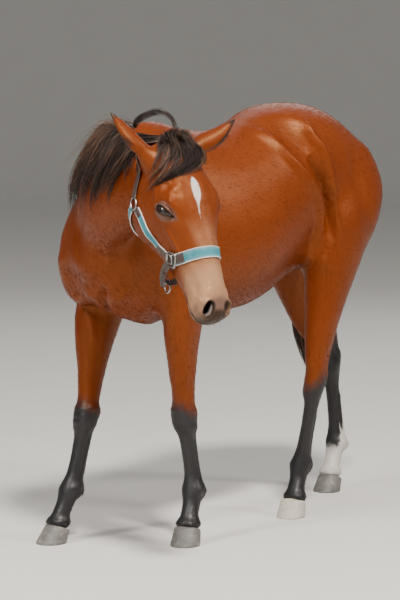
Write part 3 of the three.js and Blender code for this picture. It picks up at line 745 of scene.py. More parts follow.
def model_head(clay):
    for k in ("left", "right"):
        s = side_of(k)
        out = head_turn([0, 0.1, s])
        H = lambda *rows: np.array([on_head([a, n, w * s]) for a, n, w in rows])
        clay.stroke(H((252, -52, 84), (290, -48, 76), (325, -46, 66), (350, -48, 60)), 9, 5.5, out)  # facial crest
        clay.stroke(H((146, 34, 66), (168, 22, 90), (200, 14, 98), (236, 18, 86)), 15, 4.5)  # brow over the eye
        clay.stroke(H((252, -20, 84), (300, -10, 68), (350, -2, 54)), 18, 2.0)
        clay.stroke(H((128, 12, 88), (154, 2, 96)), 15, -5.0)  # hollow behind the brow
        clay.stroke(H((90, -45, 92), (130, -38, 98), (170, -48, 98)), 10, 3.0)  # arch behind the eye
        clay.stroke(H((90, -160, 78), (150, -178, 76), (215, -165, 74), (262, -140, 66)), 46, 11, out)  # jaw muscle, a flat plate
        clay.stroke(H((110, -212, 50), (180, -214, 48), (250, -188, 44)), 22, 6, out)
        clay.stroke(H((205, -232, 40), (245, -205, 52), (262, -160, 70), (262, -110, 82)), 13, -3.5)  # its front edge
        clay.stroke(H((262, -20, 72), (330, -8, 58), (400, -6, 48)), 16, -2.5)  # side of the nose bone
        clay.stroke(H((300, 20, 32), (380, 14, 30), (450, 6, 28)), 9, 2.0)  # edge of the nose bone
        clay.stroke(H((400, -60, 54), (440, -52, 52), (480, -44, 54)), 14, 2.2)
        clay.stroke(H((455, -96, 40), (480, -91, 47), (505, -85, 50), (530, -79, 46), (550, -72, 32), (562, -68, 12)), 3.6, -3.8, fade=0.1)  # mouth
        clay.stroke(H((462, -103, 40), (490, -101, 46), (520, -94, 42), (545, -86, 26)), 6, 2.4)  # lower lip
        clay.stroke(H((470, -84, 48), (500, -74, 53), (530, -66, 48)), 8, 1.8)  # upper lip
        clay.stroke(H((440, -100, 42), (448, -92, 46), (455, -84, 48)), 5, -1.6)
        clay.stroke(H((215, -120, 96), (240, -128, 90)), 5, -0.8)
        # veins of the cheek
        clay.stroke(H((262, -150, 74), (290, -110, 72), (320, -75, 64), (345, -30, 58)), 4.2, 1.8, out)
        clay.stroke(H((300, -100, 70), (345, -90, 60), (390, -80, 54)), 3.8, 1.4, out)
        clay.stroke(H((216, -58, 100), (240, -66, 92), (262, -78, 84)), 5, -1.4)  # fold under the eye
        clay.stroke(H((250, -6, 84), (272, -16, 76)), 5, -1.8)  # tear trough
    clay.stroke([on_head(p) for p in ([120, 60, 0], [220, 55, 0])], 26, 2.5)
    clay.stroke([on_head(p) for p in ([530, -112, 0], [505, -126, 0])], 20, 5)  # chin
    clay.stroke([on_head(p) for p in ([545, -22, 0], [562, -48, 0])], 5, -2.0)  # between the nostrils
    for s in (1, -1):
        clay.stroke([on_head(p) for p in ([494, -8, 54 * s], [520, -30, 56 * s], [544, -44, 46 * s])], 15, 8, head_turn([0, 0.25, s]))  # the nostril's wing
        clay.stroke([on_head(p) for p in ([470, 4, 42 * s], [498, 8, 40 * s])], 12, 3.5)
        clay.stroke([on_head(p) for p in ([503, -2, 46 * s], [516, -14, 52 * s])], 9, 5.0, head_turn([0, 0.2, s]))
        clay.stroke([on_head(p) for p in ([132, 40, 38 * s], [175, 38, 42 * s], [225, 34, 38 * s])], 14, -3.5)
        clay.stroke([on_head(p) for p in ([440, -28, 52 * s], [480, -34, 56 * s])], 14, -3.0)
    clay.renew()


def model_body(clay):
    for s in (1, -1):
        F = lambda line, wide, height, **more: flank(clay, s, line, wide, height * (1 if s > 0 else 0.55), **more)
        F([(30, 1240), (90, 1080), (150, 960)], 34, 8)  # shoulder blade's ridge
        F([(-40, 1230), (-70, 1100), (-70, 980), (-20, 880)], 32, -10)  # behind the shoulder
        F([(40, 950), (-10, 860), (-20, 800)], 34, 8)  # triceps
        F([(120, 1010), (90, 900), (110, 850)], 20, -3.5)
        F([(-500, 1352), (-545, 1305), (-575, 1260)], 44, -20)  # hollow of the flank, under the loin
        F([(-572, 1262), (-592, 1215), (-622, 1165), (-655, 1098), (-672, 1034), (-680, 965)], 15, -27, fade=0.2)  # and its narrow end
        F([(-596, 1363), (-600, 1321), (-620, 1278), (-643, 1220), (-662, 1156), (-683, 1097), (-694, 1033), (-702, 962)], 13, 24, fade=0.3)  # hip to stifle
        F([(-690, 1330), (-720, 1240), (-745, 1140), (-758, 1040)], 34, -6)  # behind that ridge
        F([(-415, 1345), (-452, 1309), (-484, 1250), (-533, 1194), (-585, 1138), (-624, 1072), (-645, 1003), (-645, 940)], 20, 17, fade=0.2)  # rim of the ribs
        F([(-450, 1383), (-535, 1390), (-590, 1378)], 20, 5)  # edge of the loin
        F([(-597, 1362), (-604, 1335)], 18, 7)  # point of the hip
        F([(-560, 930), (-620, 900), (-690, 866)], 22, 9)  # fold from flank to stifle
        F([(-780, 1330), (-800, 1210), (-826, 1080), (-872, 960), (-850, 860)], 32, -7)  # line between the thigh muscles
        F([(-740, 1250), (-765, 1100), (-775, 960)], 46, 4)
        for i in range(7):
            x = -110 - 66 * i
            F([(x, 1180), (x - 45, 1040), (x - 30, 900)], 15, 0.9)  # ribs, barely there
    clay.renew()


def model_chest(clay):
    front = unit([0.85, 0.3, 0])
    B = lambda *rows: np.array([on_body(*r) for r in rows])
    right = [0.669, -0.743, 0]
    clay.stroke(B((270, 52, 856), (256, 38, 828), (236, 24, 800), (200, 10, 776), (150, -10, 756), (90, -20, 745)), 11, -19, fade=0.12)  # between the breast muscles
    clay.stroke(B((262, -22, 858), (244, -32, 815)), 38, 13, front)
    clay.stroke(B((244, 92, 850), (214, 98, 805)), 44, 15, front)
    clay.stroke(B((308, 118, 1030), (296, 102, 975), (284, 84, 918)), 17, 7, front)  # lower end of the neck's keel
    clay.stroke(B((284, 62, 906), (282, 24, 888)), 8, -5, front)
    clay.stroke(B((268, 118, 905), (236, 138, 862), (206, 140, 820)), 10, -7)  # creases toward the arm
    clay.stroke(B((236, 84, 800), (214, 104, 782), (196, 120, 776)), 9, -4)
    clay.stroke(B((262, -92, 866), (237, -103, 812), (190, -120, 775)), 11, -8, fade=0.15)  # arm and chest
    clay.stroke(B((232, -98, 806), (190, -128, 776), (150, -146, 750), (145, -122, 716), (145, -114, 640)), 9, 8, fade=0.1)  # fold of skin down the arm
    clay.stroke(B((140, 150, 830), (111, 143, 785), (80, 120, 735), (60, 90, 700)), 12, -8, fade=0.12)
    clay.stroke(B((266, -98, 860), (250, -97, 822)), 56, -17, right, fade=0)
    clay.stroke(B((190, 40, 776), (150, 60, 768), (80, 60, 755), (20, 20, 738)), 52, 15, [0.25, 0, -1], fade=0)
    clay.stroke(B((110, 64, 760), (60, 50, 750)), 46, 14, [0.2, 0.2, -1], fade=0)  # floor of the breast
    clay.stroke(B((268, -140, 1000), (282, -124, 945)), 42, 10, right, fade=0)
    clay.stroke(B((110, -195, 800), (142, -190, 750), (152, -178, 690), (156, -165, 640), (158, -155, 560)), 50, 10, right, fade=0.35)  # outside of the forearm
    clay.stroke(B((372, 70, 1170), (352, 20, 1100), (318, -20, 1030), (296, -40, 960)), 26, -8, [0.8, 0.1, 0])  # neck and shoulder
    clay.stroke(B((250, -90, 1080), (262, -96, 990), (262, -100, 900)), 40, 6, [0.7, -0.5, 0])
    for s in (1, -1):
        clay.stroke(B((130, 150 * s, 985), (150, 148 * s, 930)), 34, 10)  # point of the shoulder
    clay.renew()


def leg_axis(v):
    """The middle of a leg at each height, as a function."""
    z = np.arange(0.0, 0.70, 0.01)
    mid = []
    for h in z:
        near = v[np.abs(v[:, 2] - h) < 0.012]
        mid.append((near.min(0) + near.max(0))[:2] / 2 if len(near) > 8 else [np.nan, np.nan])
    mid = np.array(mid)
    known = ~np.isnan(mid[:, 0])
    x, y = (np.interp(z, z[known], mid[known, i]) for i in (0, 1))
    return lambda h: np.stack([np.interp(h, z, x), np.interp(h, z, y)], -1)


def model_legs(clay):
    names = [leg + end for leg in LEGS for end in ("_upper", "_lower")]
    low = np.flatnonzero(clay.v[:, 2] < 0.64)
    who = owners(clay.v[low], names) // 2
    for number, leg in enumerate(LEGS):
        pick = low[who == number]
        v, n = clay.v[pick], clay.n[pick]
        axis = leg_axis(v[v[:, 2] < 0.60])
        foot, knee = axis(np.array([0.09]))[0], axis(np.array([0.20]))[0]
        ahead = {"foreleg_left": [1, 0.10], "foreleg_right": [1, -0.2], "hindleg_left": [1, 0.2], "hindleg_right": [1, -0.25]}[leg]
        ahead = unit(np.array(ahead, float))
        across = np.array([-ahead[1], ahead[0]])
        out = unit(v[:, :2] - axis(v[:, 2]))
        f, s, z = out @ ahead, out @ across, v[:, 2]
        push = np.zeros(len(v))
        at = lambda h, wide: bell(z - h, wide)
        # fetlock, pastern and coronet
        push += 4.5 * at(0.172, 0.026) + 5.0 * at(0.158, 0.017) * np.clip(-f, 0, 1) ** 2
        push += 2.0 * at(0.176, 0.014) * np.clip(np.abs(s), 0, 1) ** 4
        push += 1.2 * at(0.112, 0.024) * (0.5 + 0.5 * np.abs(s)) - 1.5 * at(0.126, 0.014) * np.clip(-f, 0, 1)
        push += 5.0 * at(0.070, 0.014)
        # cannon: bone in front, tendons behind, a groove between
        cannon = smooth(z, 0.19, 0.235) * (1 - smooth(z, 0.335, 0.37))
        push += cannon * (4.6 * np.clip(-f, 0, 1) ** 2 - 2.6 * bell(f + 0.28, 0.22) + 0.8 * np.abs(s))
        if leg.startswith("fore"):
            push += 4.6 * smooth(z, 0.345, 0.385) * (1 - smooth(z, 0.432, 0.456)) * (0.55 + 0.45 * np.abs(s))
            push += 2.5 * at(0.442, 0.014) * np.abs(s) ** 2 + 2.0 * at(0.378, 0.010) * np.abs(s) ** 2
            push -= 1.5 * np.clip(f, 0, 1) * (at(0.428, 0.005) + at(0.404, 0.004) + at(0.381, 0.004))
            push += 8.0 * at(0.420, 0.016) * np.clip(-f, 0, 1) ** 3  # the bone behind the knee
            push -= 2.0 * bell(f - 0.25, 0.2) * smooth(z, 0.46, 0.52) * np.abs(s)
        else:
            push += 5.0 * at(0.432, 0.022) * (0.6 + 0.4 * np.abs(s)) * np.clip(f + 0.6, 0, 1)
            push += 4.0 * at(0.500, 0.020) * np.clip(-f, 0, 1) ** 3
            push -= 5.0 * smooth(z, 0.47, 0.50) * (1 - smooth(z, 0.56, 0.61)) * bell(f + 0.35, 0.22)  # hollow before the long tendon
            push += 2.5 * at(0.462, 0.02) * np.abs(s) ** 3
        clay.v[pick] = v + n * (push * 1e-3)[:, None]
    clay.renew()


def thin_out(obj):
    """Fewer faces on the broad body, which is smooth, and all of them on the head and the lower legs."""
    v = points_of(obj.data)
    h = head_place(v)
    head = (np.linalg.norm(h - [250, -80, 0], axis=1) < 400) & (h[:, 0] > -180)
    group = obj.vertex_groups.new(name="spare")
    group.add(np.flatnonzero(~head & (v[:, 2] > 0.6)).tolist(), 1.0, "REPLACE")
    apply_modifier(obj, "DECIMATE", ratio=0.62, vertex_group="spare", vertex_group_factor=1.0, use_collapse_triangulate=True)
    obj.vertex_groups.clear()
    only(obj)
    bpy.ops.object.mode_set(mode="EDIT")
    bpy.ops.mesh.select_all(action="SELECT")
    bpy.ops.mesh.quads_convert_to_tris()
    bpy.ops.object.mode_set(mode="OBJECT")
    obj.data.polygons.foreach_set("use_smooth", np.ones(len(obj.data.polygons), bool))


skin = rough_skin()
refine(skin, finer_places)
refine(skin, detail_places, 3)
clay = Clay(skin)
model_head(clay)
model_body(clay)
model_chest(clay)
model_legs(clay)
clay.v = clay.v - clay.n * (COAT_DEPTH * smooth(clay.v[:, 2], 0.09, 0.15))[:, None]
clay.renew()
tree = BVHTree.FromPolygons([Vector(p) for p in clay.v], [list(p.vertices) for p in skin.data.polygons])
sew(skin, [make(k, tree) for make in (eye_sleeve, nostril_sleeve, ear_sleeve) for k in ("left", "right")])
thin_out(skin)
print("skin triangles", len(skin.data.polygons))
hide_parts(*FLESH, "ear_left", "ear_right")
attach(skin, "root")


def set_floor():
    """A pale floor that bends up far away, so that it has no edge."""
    profile = [(0.001, 0), (4, 0), (10, 0), (16, 0)]
    profile += [(16 + 10 * math.sin(t), 10 - 10 * math.cos(t)) for t in np.linspace(0.08, math.pi / 2, 18)] + [(26, 22)]
    sides = 96
    turn = np.linspace(0, 2 * math.pi, sides, endpoint=False)
    v = np.array([[r * math.cos(t), r * math.sin(t), z] for r, z in profile for t in turn])
    a = np.arange(len(profile) - 1)[:, None] * sides + np.arange(sides)
    b = np.arange(len(profile) - 1)[:, None] * sides + (np.arange(sides) + 1) % sides
    floor = mesh_from("floor", v, np.stack([a, b, b + sides, a + sides], -1).reshape(-1, 4))
    floor.data.polygons.foreach_set("use_smooth", np.ones(len(floor.data.polygons), bool))
    p = Paint("pale floor", Roughness=0.85)
    floor.data.materials.append(p.feed(Base_Color=p.mix(p.noise(p.place(), 3.0, 4), (0.62, 0.60, 0.57), (0.66, 0.64, 0.61))))


REGIONS = ["head", "neck", "trunk"] + [leg + end for leg in LEGS for end in ("_upper", "_lower")]


def unwrap(points, normals, who):
    """Where each point lies on a flat layout of the skin: six charts for each part of the body."""
    axis = np.abs(normals).argmax(1)
    sign = (np.take_along_axis(normals, axis[:, None], 1)[:, 0] > 0).astype(int)
    chart = who * 6 + axis * 2 + sign
    u = np.where(axis == 0, points[:, 1], points[:, 0])
    w = np.where(axis == 2, points[:, 1], points[:, 2])
    return chart, u, w


class Layout:
    """Places the charts of the skin side by side in the unit square, all to one scale."""

    def __init__(self, points, normals, who):
        chart, u, w = unwrap(points, normals, who)
        self.low, self.size = {}, {}
        for c in np.unique(chart):
            m = chart == c
            self.low[c] = (u[m].min(), w[m].min())
            self.size[c] = (np.ptp(u[m]) + 0.02, np.ptp(w[m]) + 0.02)
        order = sorted(self.size, key=lambda c: -self.size[c][1])
        for width in np.arange(2.0, 9.0, 0.1):
            spot, x, y, tall = {}, 0, 0, 0
            for c in order:
                a, b = self.size[c]
                if x + a > width:
                    x, y, tall = 0, y + tall, 0
                spot[c] = (x, y)
                x, tall = x + a, max(tall, b)
            if y + tall <= width:
                break
        self.spot, self.width = spot, width

    def place(self, points, normals, who):
        chart, u, w = unwrap(points, normals, who)
        known = np.array([c in self.spot for c in chart])
        first = next(iter(self.spot))
        low = np.array([self.low.get(c, self.low[first]) for c in chart])
        spot = np.array([self.spot.get(c, self.spot[first]) for c in chart])
        uv = (np.stack([u, w], 1) - low + 0.01 + spot) / self.width
        return np.clip(np.where(known[:, None], uv, 0.5), 0.001, 0.999)


def face_data(mesh):
    """Corners, normals and middles of a triangle mesh."""
    v = points_of(mesh)
    f = np.empty(len(mesh.polygons) * 3, np.int32)
    mesh.polygons.foreach_get("vertices", f)
    f = f.reshape(-1, 3)
    a, b, c = v[f[:, 0]], v[f[:, 1]], v[f[:, 2]]
    cr = np.cross(b - a, c - a)
    area = np.linalg.norm(cr, axis=1) / 2
    return v, f, (a + b + c) / 3, unit(cr), area


SKIN_V, SKIN_F, SKIN_MID, SKIN_FN, SKIN_AREA = face_data(skin.data)
SKIN_N = normals_of(skin.data)
FACE_OWNER = owners(SKIN_MID, REGIONS)
LAYOUT = Layout(SKIN_MID, SKIN_FN, FACE_OWNER)
SKIN_TREE = BVHTree.FromPolygons([Vector(p) for p in SKIN_V], SKIN_F.tolist())


def bake_map(obj, uv):
    layer_uv = obj.data.uv_layers.get("OFBake") or obj.data.uv_layers.new(name="OFBake")
    layer_uv.data.foreach_set("uv", np.asarray(uv, np.float32).ravel())


def skin_map():
    corners = SKIN_F.ravel()
    who = np.repeat(FACE_OWNER, 3)
    normal = np.repeat(SKIN_FN, 3, axis=0)
    bake_map(skin, LAYOUT.place(SKIN_V[corners], normal, who))


skin_map()


def near_skin(p):
    """The nearest place on the skin, its way out and its face."""
    hit, normal, face, _ = SKIN_TREE.find_nearest(Vector(p))
    return np.array(hit), np.array(normal), face


def lie_of_coat(v):
    """Which way the short hair lies, before it is laid on the surface."""
    h = head_place(v)
    head = smooth(h[:, 0], -60, 10) * (np.abs(h[:, 2]) < 150) * (h[:, 1] > -270) * (h[:, 1] < 130)
    down = np.array([0, 0, -1.0])
    legs = 1 - smooth(v[:, 2], 0.50, 0.80)
    body = unit([-0.85, 0, -0.42])
    flow = legs[:, None] * down + (1 - legs)[:, None] * body
    facing = np.where((h[:, 0] > 150)[:, None], NOSEWARD, -NOSEWARD * 0.6 + np.array([0, 0, -0.4]))
    flow = flow * (1 - head)[:, None] + facing * head[:, None]
    return unit(flow)


# ---- strands ------------------------------------------------------------------------------
def strands(name, paths, radii, sides=3, tint=None, flat=1.0):
    """Closed, tapering, three-sided locks round centre lines: paths (n, k, 3), radii (n, k)."""
    n, k, _ = paths.shape
    d = unit(np.gradient(paths, axis=1))
    ref = np.cross(d[:, :1], np.roll(d[:, :1], 1, axis=2) + 0.013)
    u = unit(np.broadcast_to(ref, d.shape) - d * (np.broadcast_to(ref, d.shape) * d).sum(2, keepdims=True))
    w = np.cross(d, u)
    turn = rng.uniform(0, 2 * np.pi, n)[:, None] + np.linspace(0, 2 * np.pi, sides, endpoint=False)
    ring = (np.cos(turn)[:, None, :, None] * u[:, :, None] + flat * np.sin(turn)[:, None, :, None] * w[:, :, None])
    v = paths[:, :, None] + ring * radii[:, :, None, None]
    v = v.reshape(-1, 3)
    base = np.arange(n)[:, None, None] * k * sides
    row = np.arange(k - 1)[None, :, None] * sides
    a = base + row + np.arange(sides)
    b = base + row + (np.arange(sides) + 1) % sides
    walls = np.stack([a, b, b + sides, a, b + sides, a + sides], -1).reshape(-1, 3)
    ends = np.stack([base[:, 0] + [2, 1, 0], base[:, 0] + (k - 1) * sides + [0, 1, 2]], 1).reshape(-1, 3)
    obj = mesh_from(name, v, np.concatenate([walls, ends]))
    owner = np.arange(len(v)) // (k * sides)
    layer(obj, "along", ((np.arange(len(v)) // sides) % k) / (k - 1))
    layer(obj, "tint", (rng.uniform(0, 1, n) if tint is None else tint)[owner])
    # each strand bakes from a small patch at its root
    roots = [near_skin(p)[2] for p in paths[:, 0].tolist()]
    spot = LAYOUT.place(SKIN_MID[roots], SKIN_FN[roots], FACE_OWNER[roots])
    loops = np.empty(len(obj.data.loops), np.int32)
    obj.data.loops.foreach_get("vertex_index", loops)
    local = loops - owner[loops] * k * sides
    patch = np.stack([(local % sides) / (sides - 1) - 0.5, (local // sides) / (k - 1) - 0.5], 1) * 0.0028
    bake_map(obj, spot[owner[loops]] + patch)
    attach(obj, "root")
    return obj


def spline(keys, n):
    """n points along a smooth line through some key points."""
    keys = np.asarray(keys, float)
    t = np.linspace(0, len(keys) - 1, n)
    i = np.clip(t.astype(int), 0, len(keys) - 2)
    f = (t - i)[:, None]
    pad = np.vstack([2 * keys[0] - keys[1], keys, 2 * keys[-1] - keys[-2]])
    p0, p1, p2, p3 = pad[i], pad[i + 1], pad[i + 2], pad[i + 3]
    return 0.5 * (2 * p1 + (p2 - p0) * f + (2 * p0 - 5 * p1 + 4 * p2 - p3) * f ** 2
                  + (3 * p1 - p0 - 3 * p2 + p3) * f ** 3)


def falling(root, start, length, steps, weight, lift, sway=None):
    """A hanging guide: leaves its root along `start`, then falls and lies over the skin."""
    p, d = np.array(root, float), unit(start)
    out = [p.copy()]
    step = length / (steps - 1)
    for i in range(1, steps):
        d = unit(d + weight * np.array([0, 0, -1.0]) + (0 if sway is None else sway * (i / steps)))
        q = p + d * step
        hit, normal, _ = near_skin(q)
        away = (q - hit) @ normal
        need = lift[min(i, len(lift) - 1)] if np.ndim(lift) else lift
        if away < need:
            q = q + normal * (need - away)
            d = unit(q - p)
            q = p + d * step
        out.append(q)
        p = q
    return np.array(out)


def locks(guides, each, spread, tip, wander=0.0, k=None, lengths=(0.8, 1.05)):
    """Strands round guide lines, drawn together at the tips."""
    out, owner = [], []
    for g, guide in enumerate(guides):
        k = len(guide)
        t = np.linspace(0, 1, k)[:, None]
        for _ in range(each):
            off = rng.normal(0, 1, 3)
            width = spread * (1 - t) + tip * t
            curve = guide + off * width * (0.35 + 0.65 * np.sin(np.pi * np.clip(t * 0.9 + 0.1, 0, 1)))
            phase = rng.uniform(0, 2 * np.pi, 3)
            curve = curve + wander * t * np.sin(t * rng.uniform(3, 7) + phase)
            share = rng.uniform(*lengths)
            s = np.linspace(0, min(share, 1) * (k - 1), k)
            i = np.clip(s.astype(int), 0, k - 2)
            f = (s - i)[:, None]
            out.append(curve[i] * (1 - f) + curve[i + 1] * f)
            owner.append(g)
    return np.array(out), np.array(owner)


def clear_of_skin(paths, gap):
    """Lifts what sank into the skin back out, roots left where they are."""
    n, k, _ = paths.shape
    flat = paths[:, 1:].reshape(-1, 3)
    for j, p in enumerate(flat.tolist()):
        hit, normal, face, far = SKIN_TREE.find_nearest(Vector(p), 0.05)
        if hit is None:
            continue
        away = (Vector(p) - hit).dot(normal)
        if away < gap:
            flat[j] = np.array(Vector(p) + normal * (gap - away))
    paths[:, 1:] = flat.reshape(n, k - 1, 3)
    return paths


def taper(n, k, thick, tip=0.25, swell=0.3):
    t = np.linspace(0, 1, k)
    return rng.uniform(0.75, 1.25, n)[:, None] * thick * (1 - (1 - tip) * t ** 1.6)[None]


# ---- hair of the neck, brow and tail --------------------------------------------------------
def crest_line(t):
    """The top of the neck from the poll (0) back to the withers (1), on the body's axes."""
    keys = [on_head([-28, -10, 0]), on_body(345, 366, 1342), on_body(318, 240, 1372), on_body(262, 120, 1385), on_body(190, 40, 1388), on_body(110, 4, 1382)]
    n = 41
    line = spline(keys, n)
    i = np.clip(np.asarray(t) * (n - 1), 0, n - 1.001)
    a = i.astype(int)
    f = (i - a)[..., None]
    return line[a] * (1 - f) + line[a + 1] * f


def sheet(rows, count, steps, jitter, reach=(0.75, 1.0)):
    """Guides laid out between neighbouring lines of points, jittered, of uneven length."""
    rows = np.array([spline(r, steps) for r in rows])
    guides = []
    for u in np.sort(rng.uniform(0, len(rows) - 1.001, count)):
        i = int(u)
        f = u - i
        line = rows[i] * (1 - f) + rows[i + 1] * f
        t = np.linspace(0, 1, steps)[:, None]
        line = line + rng.normal(0, 1, 3) * jitter * t + rng.normal(0, 1, 3) * jitter * 0.6 * np.sin(np.pi * t)
        s = np.linspace(0, rng.uniform(*reach) * (steps - 1), steps)
        i = np.clip(s.astype(int), 0, steps - 2)
        f = (s - i)[:, None]
        guides.append(line[i] * (1 - f) + line[i + 1] * f)
    return guides


MANE_LINES = [  # roots on the crest (share of its length), then places beside the neck
    (0.06, (387, 322, 1332), (406, 290, 1292), (418, 254, 1245), (421, 228, 1206), (414, 205, 1170), (408, 185, 1138)),
    (0.14, (371, 262, 1348), (400, 230, 1299), (408, 200, 1249), (410, 178, 1203), (408, 165, 1160), (399, 152, 1119)),
    (0.25, (345, 205, 1358), (376, 176, 1310), (390, 150, 1256), (395, 130, 1204), (394, 117, 1150), (385, 98, 1104)),
    (0.36, (312, 140, 1366), (341, 112, 1320), (361, 88, 1262), (374, 66, 1200), (377, 60, 1145), (359, 33, 1090)),
    (0.48, (276, 72, 1370), (304, 50, 1322), (326, 26, 1264), (334, -4, 1206), (334, -20, 1140), (300, -60, 1080)),
    (0.64, (232, 24, 1366), (262, 2, 1312), (284, -30, 1250), (286, -70, 1190), (270, -105, 1125), (257, -130, 1070)),
    (0.80, (184, -20, 1352), (206, -60, 1300), (226, -96, 1240), (230, -122, 1185)),
    (0.96, (120, -50, 1346), (138, -96, 1292), (154, -130, 1230))]
WISP_LINES = [
    [(330, 260, 1372), (309, 160, 1384), (318, 112, 1380), (305, 40, 1376)],
    [(300, 200, 1380), (309, 123, 1386), (334, 84, 1366), (342, 30, 1340)],
    [(290, 150, 1384), (337, 100, 1350), (362, 50, 1290), (369, -4, 1246)],
    [(262, 120, 1385), (330, 70, 1345), (364, 30, 1285), (372, -10, 1225), (366, -34, 1170)]]


def make_mane():
    rows = []
    for t, *line in MANE_LINES:
        root = near_skin(crest_line(t) + np.array([0, 0, 0.04]))[0]
        rows.append([root] + [on_body(*p) for p in line])
    guides = sheet(rows, 160, 15, 0.010, (0.5, 1.0))
    under = [falling(near_skin(crest_line(t) + np.array([0, 0, 0.04]))[0] + rng.normal(0, 0.005, 3), [0.5, -0.5, 0.2], rng.uniform(0.12, 0.19), 15, 0.35, 0.004)
             for t in rng.uniform(0.02, 0.95, 50)]
    under += [falling(near_skin(on_head([rng.uniform(-62, -40), 10, rng.uniform(-45, 30)]))[0], head_turn([0.4, 0.9, -0.4 + 0.3 * rng.normal()]), rng.uniform(0.06, 0.10), 15, 0.2, 0.011)
              for _ in range(22)]
    wisps = sheet([[on_body(*p) for p in line] for line in WISP_LINES], 26, 15, 0.014, (0.5, 1.0))
    for g in guides:
        g[0] = near_skin(g[0])[0]
    paths, owner = locks(guides + under, 9, 0.0075, 0.0030, 0.006, lengths=(0.72, 1.0))
    fine, fine_owner = locks(wisps, 5, 0.010, 0.012, 0.014, lengths=(0.6, 1.0))
    paths = clear_of_skin(paths, 0.002)
    tint = np.clip(0.42 + 0.25 * rng.normal(size=len(guides) + len(under))[owner] + 0.15 * rng.normal(size=len(owner)), 0, 1)
    thick = np.concatenate([taper(len(paths), 15, 0.0012), taper(len(fine), 15, 0.0005)])
    return strands("mane_hair", np.concatenate([paths, fine]), thick, 3, np.concatenate([tint, rng.uniform(0.7, 1.0, len(fine))]))


FORELOCK_LINES = [
    [(4, 0, -62), (43, -12, -81), (77, -33, -95), (92, -79, -94)],
    [(14, 21, -46), (57, 19, -66), (87, -4, -90), (102, -52, -98), (105, -102, -96)],
    [(12, 34, -20), (58, 45, -24), (92, 38, -53), (112, 7, -90), (113, -64, -100)],
    [(-6, 29, 21), (26, 27, 52), (67, 48, 26), (97, 51, -25), (116, 29, -77), (121, -18, -101), (116, -71, -99)],
    [(-8, 20, 41), (31, 31, 57), (69, 41, 46), (97, 52, 1), (111, 44, -44)],
    [(-4, 21, 48), (37, 36, 60), (73, 36, 62), (90, 36, 55)]]
LOOP_LINES = [
    [(320, 237, 1375), (325, 255, 1397), (357, 341, 1421), (390, 426, 1428), (366, 441, 1411), (353, 446, 1387), (352, 444, 1359)],
    [(326, 256, 1372), (339, 286, 1389), (363, 355, 1409), (389, 425, 1418), (372, 438, 1402), (361, 440, 1381), (356, 440, 1359)]]


def make_forelock():
    top = [near_skin(on_head([-22 + 6 * rng.normal(), 16, 15 * u]))[0] for u in np.linspace(-1, 1, len(FORELOCK_LINES))]
    rows = [[root] + [on_head(p) for p in line] for root, line in zip(top, FORELOCK_LINES)]
    guides = sheet(rows[:3], 22, 15, 0.010, (0.4, 1.05)) + sheet(rows[2:5], 24, 15, 0.007, (0.6, 1.0)) + sheet(rows[3:], 10, 15, 0.006, (0.5, 0.95))
    tuft = []
    for _ in range(16):  # the thick root between the ears
        root = near_skin(on_head([-26 + 10 * rng.normal(), 14, 22 * rng.normal()]))[0]
        tuft.append(falling(root, head_turn([0.25, 0.9, rng.normal() * 0.5]), rng.uniform(0.05, 0.09), 15, 0.22, 0.006, head_turn([0.4, 0, -0.5])))
    for _ in range(16):  # and behind it, by the right ear
        root = near_skin(on_head([rng.uniform(-70, -30), -10, rng.uniform(-62, -5)]))[0]
        tuft.append(falling(root, head_turn([0.5, 0.9, rng.normal() * 0.4 - 0.3]), rng.uniform(0.05, 0.08), 15, 0.25, 0.006))
    loop = sheet([[on_body(*p) for p in line] for line in LOOP_LINES], 6, 15, 0.004, (0.9, 1.0))
    paths, owner = locks(guides + tuft, 13, 0.0046, 0.0016, 0.004, lengths=(0.7, 1.0))
    arch, _ = locks(loop, 5, 0.0040, 0.0016, 0.003, lengths=(0.9, 1.0))
    paths = clear_of_skin(paths, 0.0015)
    base = np.concatenate([np.full(22, 0.6), np.full(24, 0.3), np.full(10, 0.2), np.full(len(tuft), 0.15)])
    tint = np.clip((base + 0.24 * rng.normal(size=len(base)))[owner] + 0.15 * rng.normal(size=len(owner)), 0, 1)
    return strands("forelock_hair", np.concatenate([paths, arch]), taper(len(paths) + len(arch), 15, 0.0009), 3, np.concatenate([tint, rng.uniform(0.3, 0.7, len(arch))]))


TAIL = [(-925, 0, 1318), (-1010, -6, 1312), (-1072, -34, 1250), (-1108, -100, 1100), (-1118, -182, 930), (-1096, -244, 760),
        (-1090, -256, 610), (-1096, -248, 530), (-1106, -238, 440)]
TAIL_WIDE = [16, 26, 32, 42, 48, 48, 42, 34, 14]


def make_tail():
    line = spline([on_body(*p) for p in TAIL], 22)
    wide = np.interp(np.linspace(0, 8, 22), range(9), TAIL_WIDE) / 1000
    d = unit(np.gradient(line, axis=0))
    side = unit(np.cross(d, [1, 0, 0.2]))
    other = np.cross(d, side)
    out = []
    for _ in range(1150):
        r, a = math.sqrt(rng.uniform(0.02, 1)), rng.uniform(0, 2 * math.pi)
        first = rng.uniform(0, 0.30) ** 1.2
        last = rng.uniform(0.62, 1.0)
        s = np.linspace(first, last, 16) * 21
        i = np.clip(s.astype(int), 0, 20)
        f = (s - i)[:, None]
        mix = lambda x: x[i] * (1 - f) + x[i + 1] * f
        w = np.interp(s, range(22), wide)[:, None]
        grow = smooth(np.linspace(0, 1, 16), 0, 0.35)[:, None] * 0.75 + 0.25
        wave = 0.05 * np.sin(np.linspace(0, 5, 16) + a)[:, None]
        out.append(mix(line) + w * r * grow * ((math.cos(a) + wave) * mix(side) + 0.62 * (math.sin(a) + wave) * mix(other)))
    paths = np.array(out)
    tint = np.clip(0.45 + 0.28 * rng.normal(size=len(out)), 0, 1)
    return strands("tail_hair", paths, taper(len(out), 16, 0.0017, 0.2), 3, tint)


